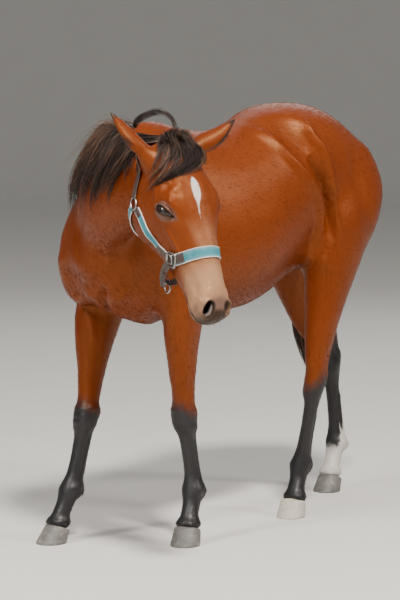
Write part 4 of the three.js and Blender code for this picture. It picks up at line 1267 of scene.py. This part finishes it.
def hair_paint():
    p = Paint("long hair", Roughness=0.42)
    p.shader.inputs["Specular IOR Level"].default_value = 0.35
    p.shader.inputs["Specular Tint"].default_value = (1.0, 0.82, 0.72, 1)
    along, tint = p.layer("along"), p.layer("tint")
    dark = p.mix(tint, (0.011, 0.009, 0.010), (0.058, 0.036, 0.029))
    pale = (tint * 1.3 + along * 0.5 - 1.12).step(0.0, 0.6)
    colour = p.mix(pale, dark, (0.17, 0.085, 0.05))
    return p.feed(Base_Color=colour)


HAIR = hair_paint()
for piece, node in ((make_mane(), "mane"), (make_forelock(), "forelock"), (make_tail(), "tail")):
    piece.data.materials.append(HAIR)
    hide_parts(node)
    print(piece.name, "triangles", sum(len(q.vertices) - 2 for q in piece.data.polygons))


# ---- eyes and hooves ------------------------------------------------------------------------
def make_eye(k):
    bpy.ops.object.select_all(action="DESELECT")
    bpy.ops.mesh.primitive_uv_sphere_add(segments=64, ring_count=40, radius=EYE_R)
    eye = bpy.context.object
    eye.name = "eye_ball_" + k
    o, a, h = eye_axes(k)
    v = points_of(eye.data)  # the ball's pole is turned to the way out
    place = v[:, 2:3] * o + v[:, 0:1] * a * EYE_LONG + v[:, 1:2] * h
    flat = np.hypot(v[:, 0], v[:, 1])
    bulge = 0.0016 * smooth(0.0155 - flat, 0, 0.006) * (v[:, 2] > 0)
    place = place + bulge[:, None] * o
    move_points(eye.data, EYES[k] + place)
    layer(eye, "across", v[:, 0] * 1000)
    layer(eye, "up", v[:, 1] * 1000)
    layer(eye, "front", (v[:, 2] > 0).astype(float))
    eye.data.polygons.foreach_set("use_smooth", np.ones(len(eye.data.polygons), bool))
    only(eye)
    bpy.ops.object.mode_set(mode="EDIT")
    bpy.ops.mesh.select_all(action="SELECT")
    bpy.ops.mesh.normals_make_consistent(inside=False)
    bpy.ops.object.mode_set(mode="OBJECT")
    eye.data.materials.append(EYE_PAINT)
    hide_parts("eye_" + k)
    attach(eye, "root")


def eye_paint():
    p = Paint("wet eye", Roughness=0.12, Coat_Weight=0.25, Coat_Roughness=0.03)
    p.shader.inputs["Specular IOR Level"].default_value = 0.3
    x, y = p.layer("across"), p.layer("up")
    r = (x * x + y * y).math("SQRT")
    pupil = ((x * x) * 0.022 + (y * y) * 0.085).math("SQRT")
    streak = p.noise(p.scaled(p.place(), (900, 900, 900)), 1.0, 3)
    iris = p.mix(streak, (0.012, 0.006, 0.004), (0.032, 0.015, 0.009))
    colour = p.mix(pupil.step(0.9, 1.15), (0.003, 0.004, 0.007), iris)
    colour = p.mix(r.step(13.5, 15.5), colour, (0.018, 0.012, 0.010))
    colour = p.mix(x.step(18, 22), colour, (0.10, 0.045, 0.04))
    return p.feed(Base_Color=colour)


EYE_PAINT = eye_paint()
for k in ("left", "right"):
    make_eye(k)

HOOVES = ["hoof_fore_left", "hoof_fore_right", "hoof_hind_left", "hoof_hind_right"]


def hoof_paint():
    p = Paint("hoof horn", Roughness=0.55)
    where = p.place()
    rings = p.noise(p.scaled(where, (8, 8, 330)), 1.0, 2)
    grain = p.noise(p.scaled(where, (420, 420, 28)), 1.0, 4)
    dust = p.noise(where, 38, 4)
    colour = p.mix(grain, (0.026, 0.025, 0.026), (0.100, 0.097, 0.095))
    colour = p.mix(rings.step(0.45, 0.7) * 0.30, colour, (0.19, 0.182, 0.172))
    colour = p.mix(dust.step(0.5, 0.75) * 0.45, colour, (0.30, 0.27, 0.225))
    pale = p.layer("pale") * dust.step(0.15, 0.5)
    colour = p.mix(pale, colour, (0.50, 0.46, 0.39))
    return p.feed(Base_Color=colour, Normal=p.bump(rings * 0.7 + grain * 0.3, 0.5, 0.0012))


HOOF_PAINT = hoof_paint()


def make_hoof(name):
    hoof = solid_copy([name], 0.0, name.replace("hoof", "horn"))
    apply_modifier(hoof, "REMESH", mode="VOXEL", voxel_size=0.003)
    v = points_of(hoof.data)
    net = Net(hoof.data)
    w = net.even(v, 9, 0.5)
    w[:, 2] = np.where(v[:, 2] < 0.0015, 0, np.maximum(w[:, 2], 0))
    mid = w.mean(0)
    out = unit((w - mid) * [1, 1, 0])
    w = (w - mid) * [0.93, 0.93, 1] + mid
    top = w[:, 2].max()
    w = w - out * (0.004 * smooth(w[:, 2], top - 0.012, top))[:, None]
    ripple = 0.0005 * np.sin(w[:, 2] * 900 + 2 * np.sin(w[:, 0] * 60)) * smooth(w[:, 2], 0.004, 0.012) * smooth(top - w[:, 2], 0.004, 0.02)
    w = w + out * ripple[:, None]
    move_points(hoof.data, w)
    layer(hoof, "pale", np.full(len(w), 0.85 if name == "hoof_hind_left" else 0.12))
    hoof.data.polygons.foreach_set("use_smooth", np.ones(len(hoof.data.polygons), bool))
    hoof.data.materials.append(HOOF_PAINT)
    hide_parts(name)
    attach(hoof, "root")


for name in HOOVES:
    make_hoof(name)
for stray in [o for o in bpy.data.objects if o.type == "MESH" and o.name.startswith("Cube")]:
    bpy.data.objects.remove(stray)


# ---- marks, painted shade and highlight, and the coat's paint ---------------------------------
def marks_and_painted_light(v, n):
    """Soft fields over the body that the paint turns into marks, painted shade and a painted highlight, the same for
    skin and tufts.
    """
    h = head_place(v)
    a, f, s = h.T
    near_head = smooth(a, -90, -30) * (np.abs(s) < 240) * (f > -290) * (f < 140)
    z = v[:, 2]
    b = (v - SHIFT) * 1000
    low = z < 0.72
    fore = low & (b[:, 0] > -300)
    left_hind = low & (b[:, 0] <= -300) & (b[:, 0] > -880) & (b[:, 1] > 0)
    right_hind = low & (b[:, 0] <= -300) & ~left_hind
    top = np.select([fore, left_hind, right_hind], [0.455 + 0.02 * n[:, 0], 0.505 - 0.035 * n[:, 0], 0.575 - 0.02 * n[:, 0]], -1.0)
    black = (top - z) / 0.07
    # the sock: higher at the back
    white = np.where(right_hind, (0.225 - 0.085 * np.clip(n[:, 0], -1, 0.7) - z) / 0.05, -3.0)
    star_mid = -16 - 5 * smooth(a, 170, 240)
    half = np.interp(a, [122, 130, 146, 170, 192, 210, 226, 262, 276], [0, 8, 12.5, 14.5, 11.5, 6.5, 3.4, 1.6, 0])
    star = np.where((near_head > 0.5) & (f > 10), (half - np.abs(s - star_mid)) / 7, -3.0)
    white = np.maximum(white, np.where((a > 118) & (a < 272), star, -3.0))
    mealy = near_head * smooth(a, 290, 470) * np.clip(1.0 - 0.75 * smooth(-f, 50, 105) * (1 - smooth(a, 470, 510)), 0, 1)
    # painted highlight: the front of the face, from the eyes down to the noseband, painted paler where light falls on
    # the nose bridge, over its own greyish brown tone
    mealy = np.maximum(mealy, near_head * 0.42 * smooth(a, 180, 320) * smooth(f, -5, 25))
    dark = near_head * np.maximum(1.2 * smooth(a, 516, 546) * smooth(-f, -8, 18) * bell(s, 54), 1.3 * smooth(a, 542, 560))
    fold = np.zeros(len(v))
    grey = near_head * 1.2 * smooth(a, 478, 522) * bell(s, 70)
    for k in ("left", "right"):
        o, along, up = nostril_axes(k)
        d = v - NOSTRILS[k]
        x, y, z = d @ along / 0.0265, (d @ up + 0.0015) / 0.0160, d @ o
        r = np.hypot(x, y)
        near_hole = (np.abs(z) < 0.05) & (np.linalg.norm(d, axis=1) < 0.06) & (r < 1.5)
        dark = np.where(near_hole, np.maximum(dark, 1.2 - np.clip(r - 0.85, 0, 9) / 0.30), dark)
        inner = near_hole & (r < 0.99) & (z < 0.0025)
        fold = np.where(inner & (z > -0.026), smooth(y + 0.35 * x, -0.25, 0.15) * smooth(0.99 - r, 0.0, 0.12), fold)
        # painted shade: the whole inside of the nostril is painted near black; the dark rim around it is its own dark
        # skin
        dark = np.where(inner, 1.3, dark)
        eo, ea, eh = eye_axes(k)
        d = v - EYES[k]
        x, y, z = d @ ea * 1000, d @ eh * 1000, d @ eo
        up_edge, low_edge = np.interp(x, LID_LINE[:, 0], LID_LINE[:, 1]), np.interp(x, LID_LINE[:, 0], LID_LINE[:, 2])
        off = np.maximum(y - up_edge, low_edge - y) + np.clip(np.maximum(-27.5 - x, x - 37), 0, 99)
        near_eye = (z > -0.01) & (z < 0.05) & (np.hypot(x / 72, y / 52) < 1)
        dark = np.where(near_eye, np.maximum(dark, np.where(z < 0.0235, 1.2, 0) * (off < 3)), dark)
        dark = np.where(near_eye, np.maximum(dark, 1.05 - np.clip(off, 0, 99) / 6.5), dark)
        grey = np.where(near_eye, np.maximum(grey, 0.9 * smooth(-off, -25, -9) * smooth(off, 0.5, 3)), grey)
        p, q, d, o, side, length = ear_axes(k)
        e = v - p
        t = (e @ d) / length
        r = np.abs(e @ side)
        wide = np.interp(t, [row[0] for row in EAR_ROWS], [row[1] / 1000 for row in EAR_ROWS])
        on_ear = (np.hypot(e @ side, e @ o) < 0.048) & (t > 0.02) & (t < 1.05)
        rim = np.clip((r / wide - 0.80) / 0.2, 0, 1) * smooth(t, 0.15, 0.4)
        hollow = (n @ o > 0.25) & (t > 0.15)
        dark = np.where(on_ear, np.maximum(dark, np.maximum(rim * 0.9, 1.5 * smooth(t, 0.80, 0.98)) + 0.35 * hollow), dark)
    mouth, _ = reach_of(v, np.array([on_head([x, y, w]) for x, y, w in
                                     ((455, -96, -40), (505, -85, -50), (550, -72, -32), (564, -66, 0), (550, -72, 32), (505, -85, 50), (455, -96, 40))]))
    dark = np.maximum(dark, near_head * (0.85 - mouth / 0.014))
    # a darker line along the back, croup and dock
    back = bell(b[:, 1] * (b[:, 0] < 120), 24) * smooth(n[:, 2], 0.3, 0.9) * (z > 1.1) * (b[:, 0] < 200) * (near_head < 0.2)
    # painted shade: the coat is painted darker wherever it faces down, under the belly, chest, neck and head
    under = np.clip(1.3 * (1 - smooth(n[:, 2], -0.95, -0.1)), 0, 1) * (z > 0.55)
    return {"black": black, "white": white, "mealy": mealy, "dark": dark, "back": back, "under": under, "grey": grey, "fold": fold}


NOSTRILS = {k: near_skin(on_head([530, -15, 36 * side_of(k)]))[0] for k in ("left", "right")}


def add_marks_and_painted_light(obj, v, n):
    for name, values in marks_and_painted_light(v, n).items():
        layer(obj, name, values)


def lie_map(obj):
    """A map whose second axis runs along the lie of the coat, in metres."""
    axis = np.abs(SKIN_FN).argmax(1)
    flow = lie_of_coat(SKIN_MID)
    chart, u, w = unwrap(SKIN_MID, SKIN_FN, FACE_OWNER)
    fu = np.where(axis == 0, flow[:, 1], flow[:, 0])
    fw = np.where(axis == 2, flow[:, 1], flow[:, 2])
    turn = np.zeros(len(chart))
    for c in np.unique(chart):
        m = chart == c
        turn[m] = math.atan2(fw[m].sum(), fu[m].sum())
    corners = SKIN_F.ravel()
    _, u, w = unwrap(SKIN_V[corners], np.repeat(SKIN_FN, 3, 0), np.repeat(FACE_OWNER, 3))
    turn = np.repeat(turn, 3)
    uv = np.stack([-u * np.sin(turn) + w * np.cos(turn), u * np.cos(turn) + w * np.sin(turn)], 1)
    m = obj.data.uv_layers.new(name="lie")
    m.data.foreach_set("uv", uv.astype(np.float32).ravel())


def coat_colour(p, where, grain):
    """Bay, black points, white, pale muzzle and dark parts, from the fields that the mesh carries; painted shade under
    the body and inside the nostrils, and a painted highlight down the nose.
    """
    broad = p.noise(where, 3.2, 3)
    spots = p.noise(where, 34, 4)
    rough = (grain - 0.5) * 0.5 + (spots - 0.5) * 0.5
    bay = p.mix(broad, (0.122, 0.0180, 0.0020), (0.205, 0.036, 0.0042))
    # painted shade: the downward-facing coat is mixed towards a dark brown
    bay = p.mix(p.layer("under") * 0.85, bay, (0.055, 0.011, 0.0022))
    bay = p.mix((p.layer("back") + rough * 0.6).step(0.3, 0.95) * 0.6, bay, (0.05, 0.016, 0.008))
    # the pale muzzle, and the painted highlight down the nose bridge
    mealy = (p.layer("mealy") + rough * 0.35).step(0.1, 0.95)
    colour = p.mix(mealy * 0.92, bay, (0.40, 0.215, 0.118))
    black = (p.layer("black") + rough * 1.6).step(-0.35, 0.75)
    points = p.mix(spots, (0.007, 0.0065, 0.008), (0.022, 0.019, 0.021))
    colour = p.mix(black, colour, points)
    dark = (p.layer("dark") + rough * 0.5).step(0.1, 1.0)
    colour = p.mix((p.layer("grey") + rough * 0.6).step(0.05, 1.1) * 0.8, colour, (0.115, 0.073, 0.064))
    colour = p.mix(dark, colour, (0.014, 0.010, 0.010))
    colour = p.mix(p.layer("fold"), colour, p.mix(spots, (0.12, 0.105, 0.10), (0.30, 0.275, 0.26)))
    white = (p.layer("white") + rough * 2.2).step(-0.2, 0.5)
    colour = p.mix(white, colour, (0.60, 0.56, 0.51))
    return p.mix(grain * 0.35, colour, (0.0, 0.0, 0.0)), black


def points_too(p, black, **links):
    """The black points shine grey, not red: a second shader, mixed in where the coat is black."""
    p.feed(**links)
    other = p.node("ShaderNodeBsdfPrincipled", {}, {k.replace("_", " "): v for k, v in links.items()})
    other.socket.node.inputs["Specular IOR Level"].default_value = 0.4
    both = p.node("ShaderNodeMixShader", {}, {0: black})
    p.tree.links.new(p.shader.outputs[0], both.socket.node.inputs[1])
    p.tree.links.new(other.socket, both.socket.node.inputs[2])
    end = next(n for n in p.tree.nodes if n.type == "OUTPUT_MATERIAL")
    p.tree.links.new(both.socket, end.inputs["Surface"])
    return p.material


def coat_paint():
    p = Paint("short bay coat")
    p.shader.inputs["Specular IOR Level"].default_value = 0.45
    p.shader.inputs["Specular Tint"].default_value = (1.0, 0.56, 0.28, 1)
    where = p.place()
    lie = p.scaled(p.uv("lie"), (900, 75, 1))
    grain = p.noise(lie, 1.0, 3, 0.6)
    clump = p.noise(p.scaled(p.uv("lie"), (150, 22, 1)), 1.0, 3)
    colour, black = coat_colour(p, where, grain)
    height = grain * 0.35 + clump * 0.65
    return points_too(p, black, Base_Color=colour, Roughness=0.34 + clump * 0.16, Normal=p.bump(height, 0.45, 0.0020))


add_marks_and_painted_light(skin, SKIN_V, SKIN_N)
lie_map(skin)
COAT = coat_paint()
skin.data.materials.append(COAT)


# ---- tufts of the short coat --------------------------------------------------------------------
def tuft_fields(v, n):
    """How long the coat is over the body (m) and how thickly its tufts stand."""
    h = head_place(v)
    head = smooth(h[:, 0], -60, 10) * (np.abs(h[:, 2]) < 150) * (h[:, 1] > -270) * (h[:, 1] < 130)
    z = v[:, 2]
    long = 0.011 + 0.004 * smooth(-n[:, 2], 0.2, 0.8)
    long = long * (1 - head) + head * (0.0048 + 0.0060 * smooth(-h[:, 1], 110, 190) - 0.0018 * smooth(h[:, 0], 400, 500))
    feet = 1 - smooth(z, 0.40, 0.60)
    long = long * (1 - feet) + feet * 0.0065
    many = 1 + 1.5 * smooth(-n[:, 2], 0.1, 0.7) + 1.6 * head + 0.9 * feet
    coronet = bell(z - 0.072, 0.016)
    back = feet * smooth(-n[:, 0], 0.2, 0.8) * bell(z - 0.155, 0.045)
    long = long + 0.004 * coronet + 0.014 * back
    many = many + 7 * coronet + 7 * back
    ears = np.zeros(len(v))
    for k in ("left", "right"):
        p, q, d, o, side, length = ear_axes(k)
        e = v - p
        t = (e @ d) / length
        on_ear = (np.hypot(e @ side, e @ o) < 0.048) & (t > 0.05) & (t < 1.05)
        ears = np.maximum(ears, on_ear * (1 + 1.2 * (n @ o > 0.25)))
        near = np.linalg.norm(v - EYES[k], axis=1)
        many = many * smooth(near, 0.026, 0.045)
        many = many * smooth(np.linalg.norm(v - NOSTRILS[k], axis=1), 0.022, 0.036)
    long = np.where(ears > 0, 0.0045 + 0.0035 * (ears > 1), long)
    many = many + 3.5 * ears
    return long, many * (z > 0.058)


def make_tufts(name, count):
    long, many = tuft_fields(SKIN_MID, SKIN_FN)
    chance = SKIN_AREA * many
    face = rng.choice(len(chance), count, p=chance / chance.sum())
    a, b = rng.uniform(0, 1, (2, count))
    a, b = np.where(a + b > 1, 1 - a, a), np.where(a + b > 1, 1 - b, b)
    f = SKIN_F[face]
    root = SKIN_V[f[:, 0]] + a[:, None] * (SKIN_V[f[:, 1]] - SKIN_V[f[:, 0]]) + b[:, None] * (SKIN_V[f[:, 2]] - SKIN_V[f[:, 0]])
    n = unit(SKIN_N[f].mean(1))
    flow = lie_of_coat(root) + rng.normal(0, 0.16, (count, 3))
    flow = unit(flow - n * (flow * n).sum(1, keepdims=True))
    size = (long[face] * rng.uniform(0.7, 1.25, count))[:, None]
    start = root - n * 0.0012
    paths = np.stack([start, root + flow * size * 0.45 + n * (0.0006 + size * 0.03), root + flow * size + n * (0.0008 + size * 0.045)], 1)
    wide = 0.00028 + 0.020 * size
    tint = rng.uniform(0, 1, count)
    tufts = strands(name, paths, wide * np.array([[1.0, 0.85, 0.15]]), 3, tint, 0.4)
    for field, values in marks_and_painted_light(root, n).items():
        layer(tufts, field, np.repeat(values, 9))
    tufts.data.materials.append(TUFT_PAINT)
    return tufts


def tuft_paint():
    p = Paint("tufts of the coat", Roughness=0.5)
    p.shader.inputs["Specular IOR Level"].default_value = 0.35
    p.shader.inputs["Specular Tint"].default_value = (1.0, 0.56, 0.28, 1)
    colour, black = coat_colour(p, p.place(), p.layer("tint") * 0.4 + 0.1)
    return points_too(p, black, Base_Color=colour)


TUFT_PAINT = tuft_paint()
for number in range(TUFT_PIECES):
    make_tufts("coat_tufts_%d" % (number + 1), 13800)


def make_lashes():
    """Lashes on the upper lids, and the feelers of the muzzle and chin."""
    paths, thick = [], []
    t = np.linspace(0, 1, 6)[:, None]
    for k in ("left", "right"):
        o, a, h = eye_axes(k)
        for _ in range(46):
            x = rng.uniform(-22, 27)
            y = np.interp(x, LID_LINE[:, 0], LID_LINE[:, 1]) + rng.uniform(0.2, 1.6)
            root = near_skin(EYES[k] + (a * x + h * y) / 1000 + o * 0.024)[0]
            way = unit(o * 0.9 + a * (0.012 * x) - h * rng.uniform(0.1, 0.45) + rng.normal(0, 0.07, 3))
            length = rng.uniform(0.010, 0.019)
            paths.append(root - way * 0.001 + way * length * t + h * length * 0.25 * t ** 2)
            thick.append(0.00028 * (1 - 0.8 * t[:, 0]))
    for _ in range(90):
        s = rng.choice([-1, 1])
        root, n, _ = near_skin(on_head([rng.uniform(478, 556), rng.uniform(-112, -48), s * rng.uniform(8, 52)]))
        way = unit(n + NOSEWARD * 0.3 + rng.normal(0, 0.15, 3))
        length = rng.uniform(0.010, 0.030)
        paths.append(root - n * 0.001 + way * length * t + np.array([0, 0, -0.3]) * length * t ** 2)
        thick.append(0.00020 * (1 - 0.8 * t[:, 0]))
    lashes = strands("lashes_and_feelers", np.array(paths), np.array(thick), 3, rng.uniform(0, 0.25, len(paths)))
    lashes.data.materials.append(HAIR)


make_lashes()


# ---- headcollar -------------------------------------------------------------------------------
def strap_path(stops, n, lift):
    """A path over the head's skin past places in mm on the head, and its way out."""
    path = spline(np.array([on_head(p) for p in stops]), n)
    keys, ups = [], []
    for p in path:
        hit, normal, _ = near_skin(p)
        keys.append(hit + normal * lift / 1000)
        ups.append(normal)
    ease = lambda x: np.array([x[max(i - 3, 0):i + 4].mean(0) for i in range(len(x))])
    return ease(np.array(keys)), unit(ease(np.array(ups)))


def band(name, path, ups, wide, thick, paint, edge=True):
    """A woven or leather band: flat, with rounded, slightly raised edges."""
    d = unit(np.gradient(path, axis=0))
    ups = unit(ups - d * (ups * d).sum(1, keepdims=True))
    side = np.cross(ups, d)
    w, t = wide / 2000, thick / 1000
    lip = 0.0005 if edge else 0.0
    outline = [(-1, 0.15), (-0.99, 0.62), (-0.94, 1), (-0.86, 1), (-0.82, 0.9), (-0.4, 0.93), (0, 0.95), (0.4, 0.93), (0.82, 0.9), (0.86, 1), (0.94, 1),
               (0.99, 0.62), (1, 0.15), (0.95, 0), (0, 0), (-0.95, 0)]
    ring = np.array([[path[i] + side[i] * (u * w) + ups[i] * (q * t + (lip if 0.84 < abs(u) < 0.97 and q > 0.5 else 0)) for u, q in outline] for i in range(len(path))])
    n, k = ring.shape[:2]
    a = np.arange(n - 1)[:, None] * k + np.arange(k)
    b = np.arange(n - 1)[:, None] * k + (np.arange(k) + 1) % k
    faces = np.stack([a, a + k, b + k, b], -1).reshape(-1, 4)
    obj = mesh_from(name, ring.reshape(-1, 3), faces)
    far = np.concatenate([[0], np.cumsum(np.linalg.norm(np.diff(path, axis=0), axis=1))])
    layer(obj, "along", np.repeat(far, k) * 1000)
    layer(obj, "across", np.tile([u * wide / 2 for u, _ in outline], n))
    layer(obj, "edge", np.tile([smooth(np.array(abs(u)), 0.80, 0.88) for u, _ in outline], n))
    bm = bmesh.new()
    bm.from_mesh(obj.data)
    bmesh.ops.holes_fill(bm, edges=[e for e in bm.edges if e.is_boundary], sides=0)
    bmesh.ops.recalc_face_normals(bm, faces=bm.faces)
    bm.to_mesh(obj.data)
    bm.free()
    only(obj)
    bpy.ops.object.shade_smooth_by_angle(angle=math.radians(50))
    obj.data.materials.append(paint)
    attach(obj, "root")
    return obj


def web_paint():
    p = Paint("woven band", Roughness=0.75)
    x, y = p.layer("across"), p.layer("along")
    ribs = ((x * 2.6).math("SINE") * (y * 2.6 + (x * 1.3).math("SINE") * 0.4).math("SINE")) * 0.5 + 0.5
    wear = p.noise(p.place(), 60, 4)
    body = p.mix(ribs, (0.011, 0.118, 0.150), (0.036, 0.225, 0.270))
    body = p.mix(wear.step(0.52, 0.75) * 0.3, body, (0.20, 0.36, 0.38))
    # painted highlight: the band's rounded, padded edges painted pale, where light catches them
    pale_edge_highlight = p.mix(ribs, (0.50, 0.47, 0.44), (0.66, 0.63, 0.60))
    colour = p.mix(p.layer("edge"), body, pale_edge_highlight)
    return p.feed(Base_Color=colour, Normal=p.bump(ribs, 0.45, 0.0006))


def leather_paint():
    p = Paint("halter leather", Roughness=0.5)
    x, y = p.layer("across"), p.layer("along")
    grain = p.noise(p.place(), 900, 4)
    wear = p.noise(p.place(), 70, 3)
    colour = p.mix(grain, (0.020, 0.012, 0.011), (0.070, 0.043, 0.036))
    colour = p.mix(wear.step(0.5, 0.8) * 0.4, colour, (0.13, 0.090, 0.078))
    line = (x.math("ABSOLUTE") - p.layer("seam")).math("ABSOLUTE")
    stitch = (1 - line.step(0.25, 0.6)) * (y * 2.1).math("SINE").step(-0.1, 0.3)
    colour = p.mix(stitch * 0.8, colour, (0.30, 0.24, 0.17))
    return p.feed(Base_Color=colour, Normal=p.bump(grain * 0.5 + stitch, 0.4, 0.0005))


def steel_paint():
    p = Paint("steel fitting", Metallic=1.0)
    scuff = p.noise(p.place(), 240, 4)
    colour = p.mix(scuff, (0.20, 0.185, 0.175), (0.46, 0.44, 0.42))
    return p.feed(Base_Color=colour, Roughness=0.22 + scuff * 0.25)


WEB, LEATHER, STEEL = web_paint(), leather_paint(), steel_paint()


def tack_band(name, stops, wide, thick, lift, paint=None, nodes=(), n=48, seam=99.0, loose=False):
    if loose:
        path = spline(np.array([on_head(p) for p in stops]), n)
        ups = unit(path - on_head(loose))
    else:
        path, ups = strap_path(stops, n, lift)
    obj = band(name, path, ups, wide, thick, paint or WEB, edge=paint is None)
    if paint is not None:
        layer(obj, "seam", np.full(len(obj.data.vertices), seam))
    if nodes:
        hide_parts(*nodes)
    return obj


def tack_ring(name, node, place, lift, half_wide, half_long, wire, square, turn=0.0, up=None):
    """A steel ring or square, lying on the head at a place."""
    c, normal, _ = near_skin(on_head(place))
    up = normal if up is None else head_turn(up)
    c = c + up * lift / 1000 if lift < 50 else on_head(place)
    d = unit(NOSEWARD - up * (NOSEWARD @ up))
    s = np.cross(up, d)
    d, s = d * math.cos(turn) + s * math.sin(turn), s * math.cos(turn) - d * math.sin(turn)
    bpy.ops.object.select_all(action="DESELECT")
    bpy.ops.mesh.primitive_torus_add(major_segments=56, minor_segments=12, major_radius=1.0, minor_radius=0.1)
    obj = bpy.context.object
    obj.name = name
    v = points_of(obj.data)
    angle_at = np.arctan2(v[:, 1], v[:, 0])
    off = np.stack([np.hypot(v[:, 0], v[:, 1]) - 1, v[:, 2]], 1) * 10 * wire / 1000
    power = lambda x: np.sign(x) * np.abs(x) ** (2 / square)
    cx, cy = power(np.cos(angle_at)) * half_wide / 1000, power(np.sin(angle_at)) * half_long / 1000
    out = unit(np.stack([np.sign(np.cos(angle_at)) * np.abs(np.cos(angle_at)) ** (2 - 2 / square) / half_wide,
                         np.sign(np.sin(angle_at)) * np.abs(np.sin(angle_at)) ** (2 - 2 / square) / half_long], 1))
    x, y = cx + out[:, 0] * off[:, 0], cy + out[:, 1] * off[:, 0]
    move_points(obj.data, c + x[:, None] * s + y[:, None] * d + off[:, 1:2] * up)
    obj.data.polygons.foreach_set("use_smooth", np.ones(len(obj.data.polygons), bool))
    obj.data.materials.append(STEEL)
    only(obj)
    bpy.ops.object.mode_set(mode="EDIT")
    bpy.ops.mesh.select_all(action="SELECT")
    bpy.ops.mesh.normals_make_consistent(inside=False)
    bpy.ops.object.mode_set(mode="OBJECT")
    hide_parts(node)
    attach(obj, "root")
    return obj


CHEEK = [(141, -147, 90), (182, -137, 91), (220, -135, 84), (255, -131, 75), (289, -120, 67), (322, -104, 63)]
NOSE_HALF = [(341, -98, 58), (348, -68, 62), (355, -38, 64), (359, -4, 55), (363, 24, 28)]
THROAT_HALF = [(134, -160, 84), (138, -190, 76), (154, -224, 64), (180, -246, 46), (196, -254, 20)]
CROWN_HALF = [(112, -150, 84), (92, -146, 86), (62, -130, 94), (30, -104, 104), (2, -84, 100), (-28, -68, 76), (-52, -48, 40)]


def mirrored(half, middle):
    return [(a, n, -s) for a, n, s in half] + [middle] + half[::-1]


def make_headcollar():
    for k in ("left", "right"):
        s = side_of(k)
        on_side = lambda rows: [(a, n, w * s) for a, n, w in rows]
        tack_band("cheek_band_" + k, on_side(CHEEK), 25, 2.8, 1.5, nodes=["halter_strap_cheek_" + k])
        tack_band("cheek_tab_" + k, on_side([(134, -150, 90), (152, -144, 91), (176, -138, 91)]), 18, 2.6, 4.2, LEATHER, seam=7.0, n=24)
        tack_band("cheek_end_" + k, on_side([(276, -125, 69), (300, -115, 65), (330, -98, 62)]), 22, 2.6, 4.2, LEATHER, seam=9.0, n=30)
        tack_ring("cheek_ring_" + k, "halter_ring_cheek_" + k, (126, -152, 88 * s), 5, 14, 20, 2.7, 2.2)
        tack_ring("nose_ring_" + k, "halter_ring_nose_" + k, (340, -88, 64 * s), 6, 19, 22, 2.9, 5, 0.75 * s)
        tack_ring("nose_buckle_" + k, "halter_ring_nose_" + k, (334, -92, 64 * s), 9, 13, 14, 2.4, 6, 0.75 * s)
        tack_band("nose_tab_" + k, on_side([(342, -86, 62), (348, -66, 63), (352, -46, 64), (355, -30, 62)]), 27, 2.6, 4.4, LEATHER, seam=10.5, n=36)
        tack_band("hanging_tab_" + k, on_side([(346, -104, 64), (356, -132, 62), (372, -156, 56), (392, -170, 50)]), 24, 3.0, 0, LEATHER, seam=9, n=30,
                  loose=(330, -120, 0))
        tack_band("tab_keeper_" + k, on_side([(362, -136, 68), (366, -140, 52), (372, -146, 40)]), 10, 3.0, 0, LEATHER, n=16, loose=(330, -100, 0))
    tack_band("noseband", mirrored(NOSE_HALF, (364, 33, 0)), 36, 3.4, 1.5, nodes=["halter_noseband"], n=96)
    tack_band("chin_band", mirrored([(340, -104, 62), (346, -134, 56), (356, -164, 42), (366, -184, 20)], (369, -190, 0)), 22, 3.4, 0, LEATHER,
              nodes=["halter_strap_chin"], seam=8.5, n=60, loose=(330, -60, 0))
    tack_band("throat_band", mirrored(THROAT_HALF, (198, -258, 0)), 25, 2.8, 4.0, nodes=["halter_strap_throat"], n=80)
    crown = tack_band("crown_band", mirrored(CROWN_HALF, (-58, -36, 0)), 26, 3.2, 3.5, LEATHER, nodes=["halter_strap_crown"], n=96, seam=10)
    tack_ring("chin_ring", "halter_ring_chin", (376, -206, 0), 64, 15, 20, 2.8, 2.2, up=(0.2, 0.1, 1))


make_headcollar()

set_camera()
set_lights()
set_floor()
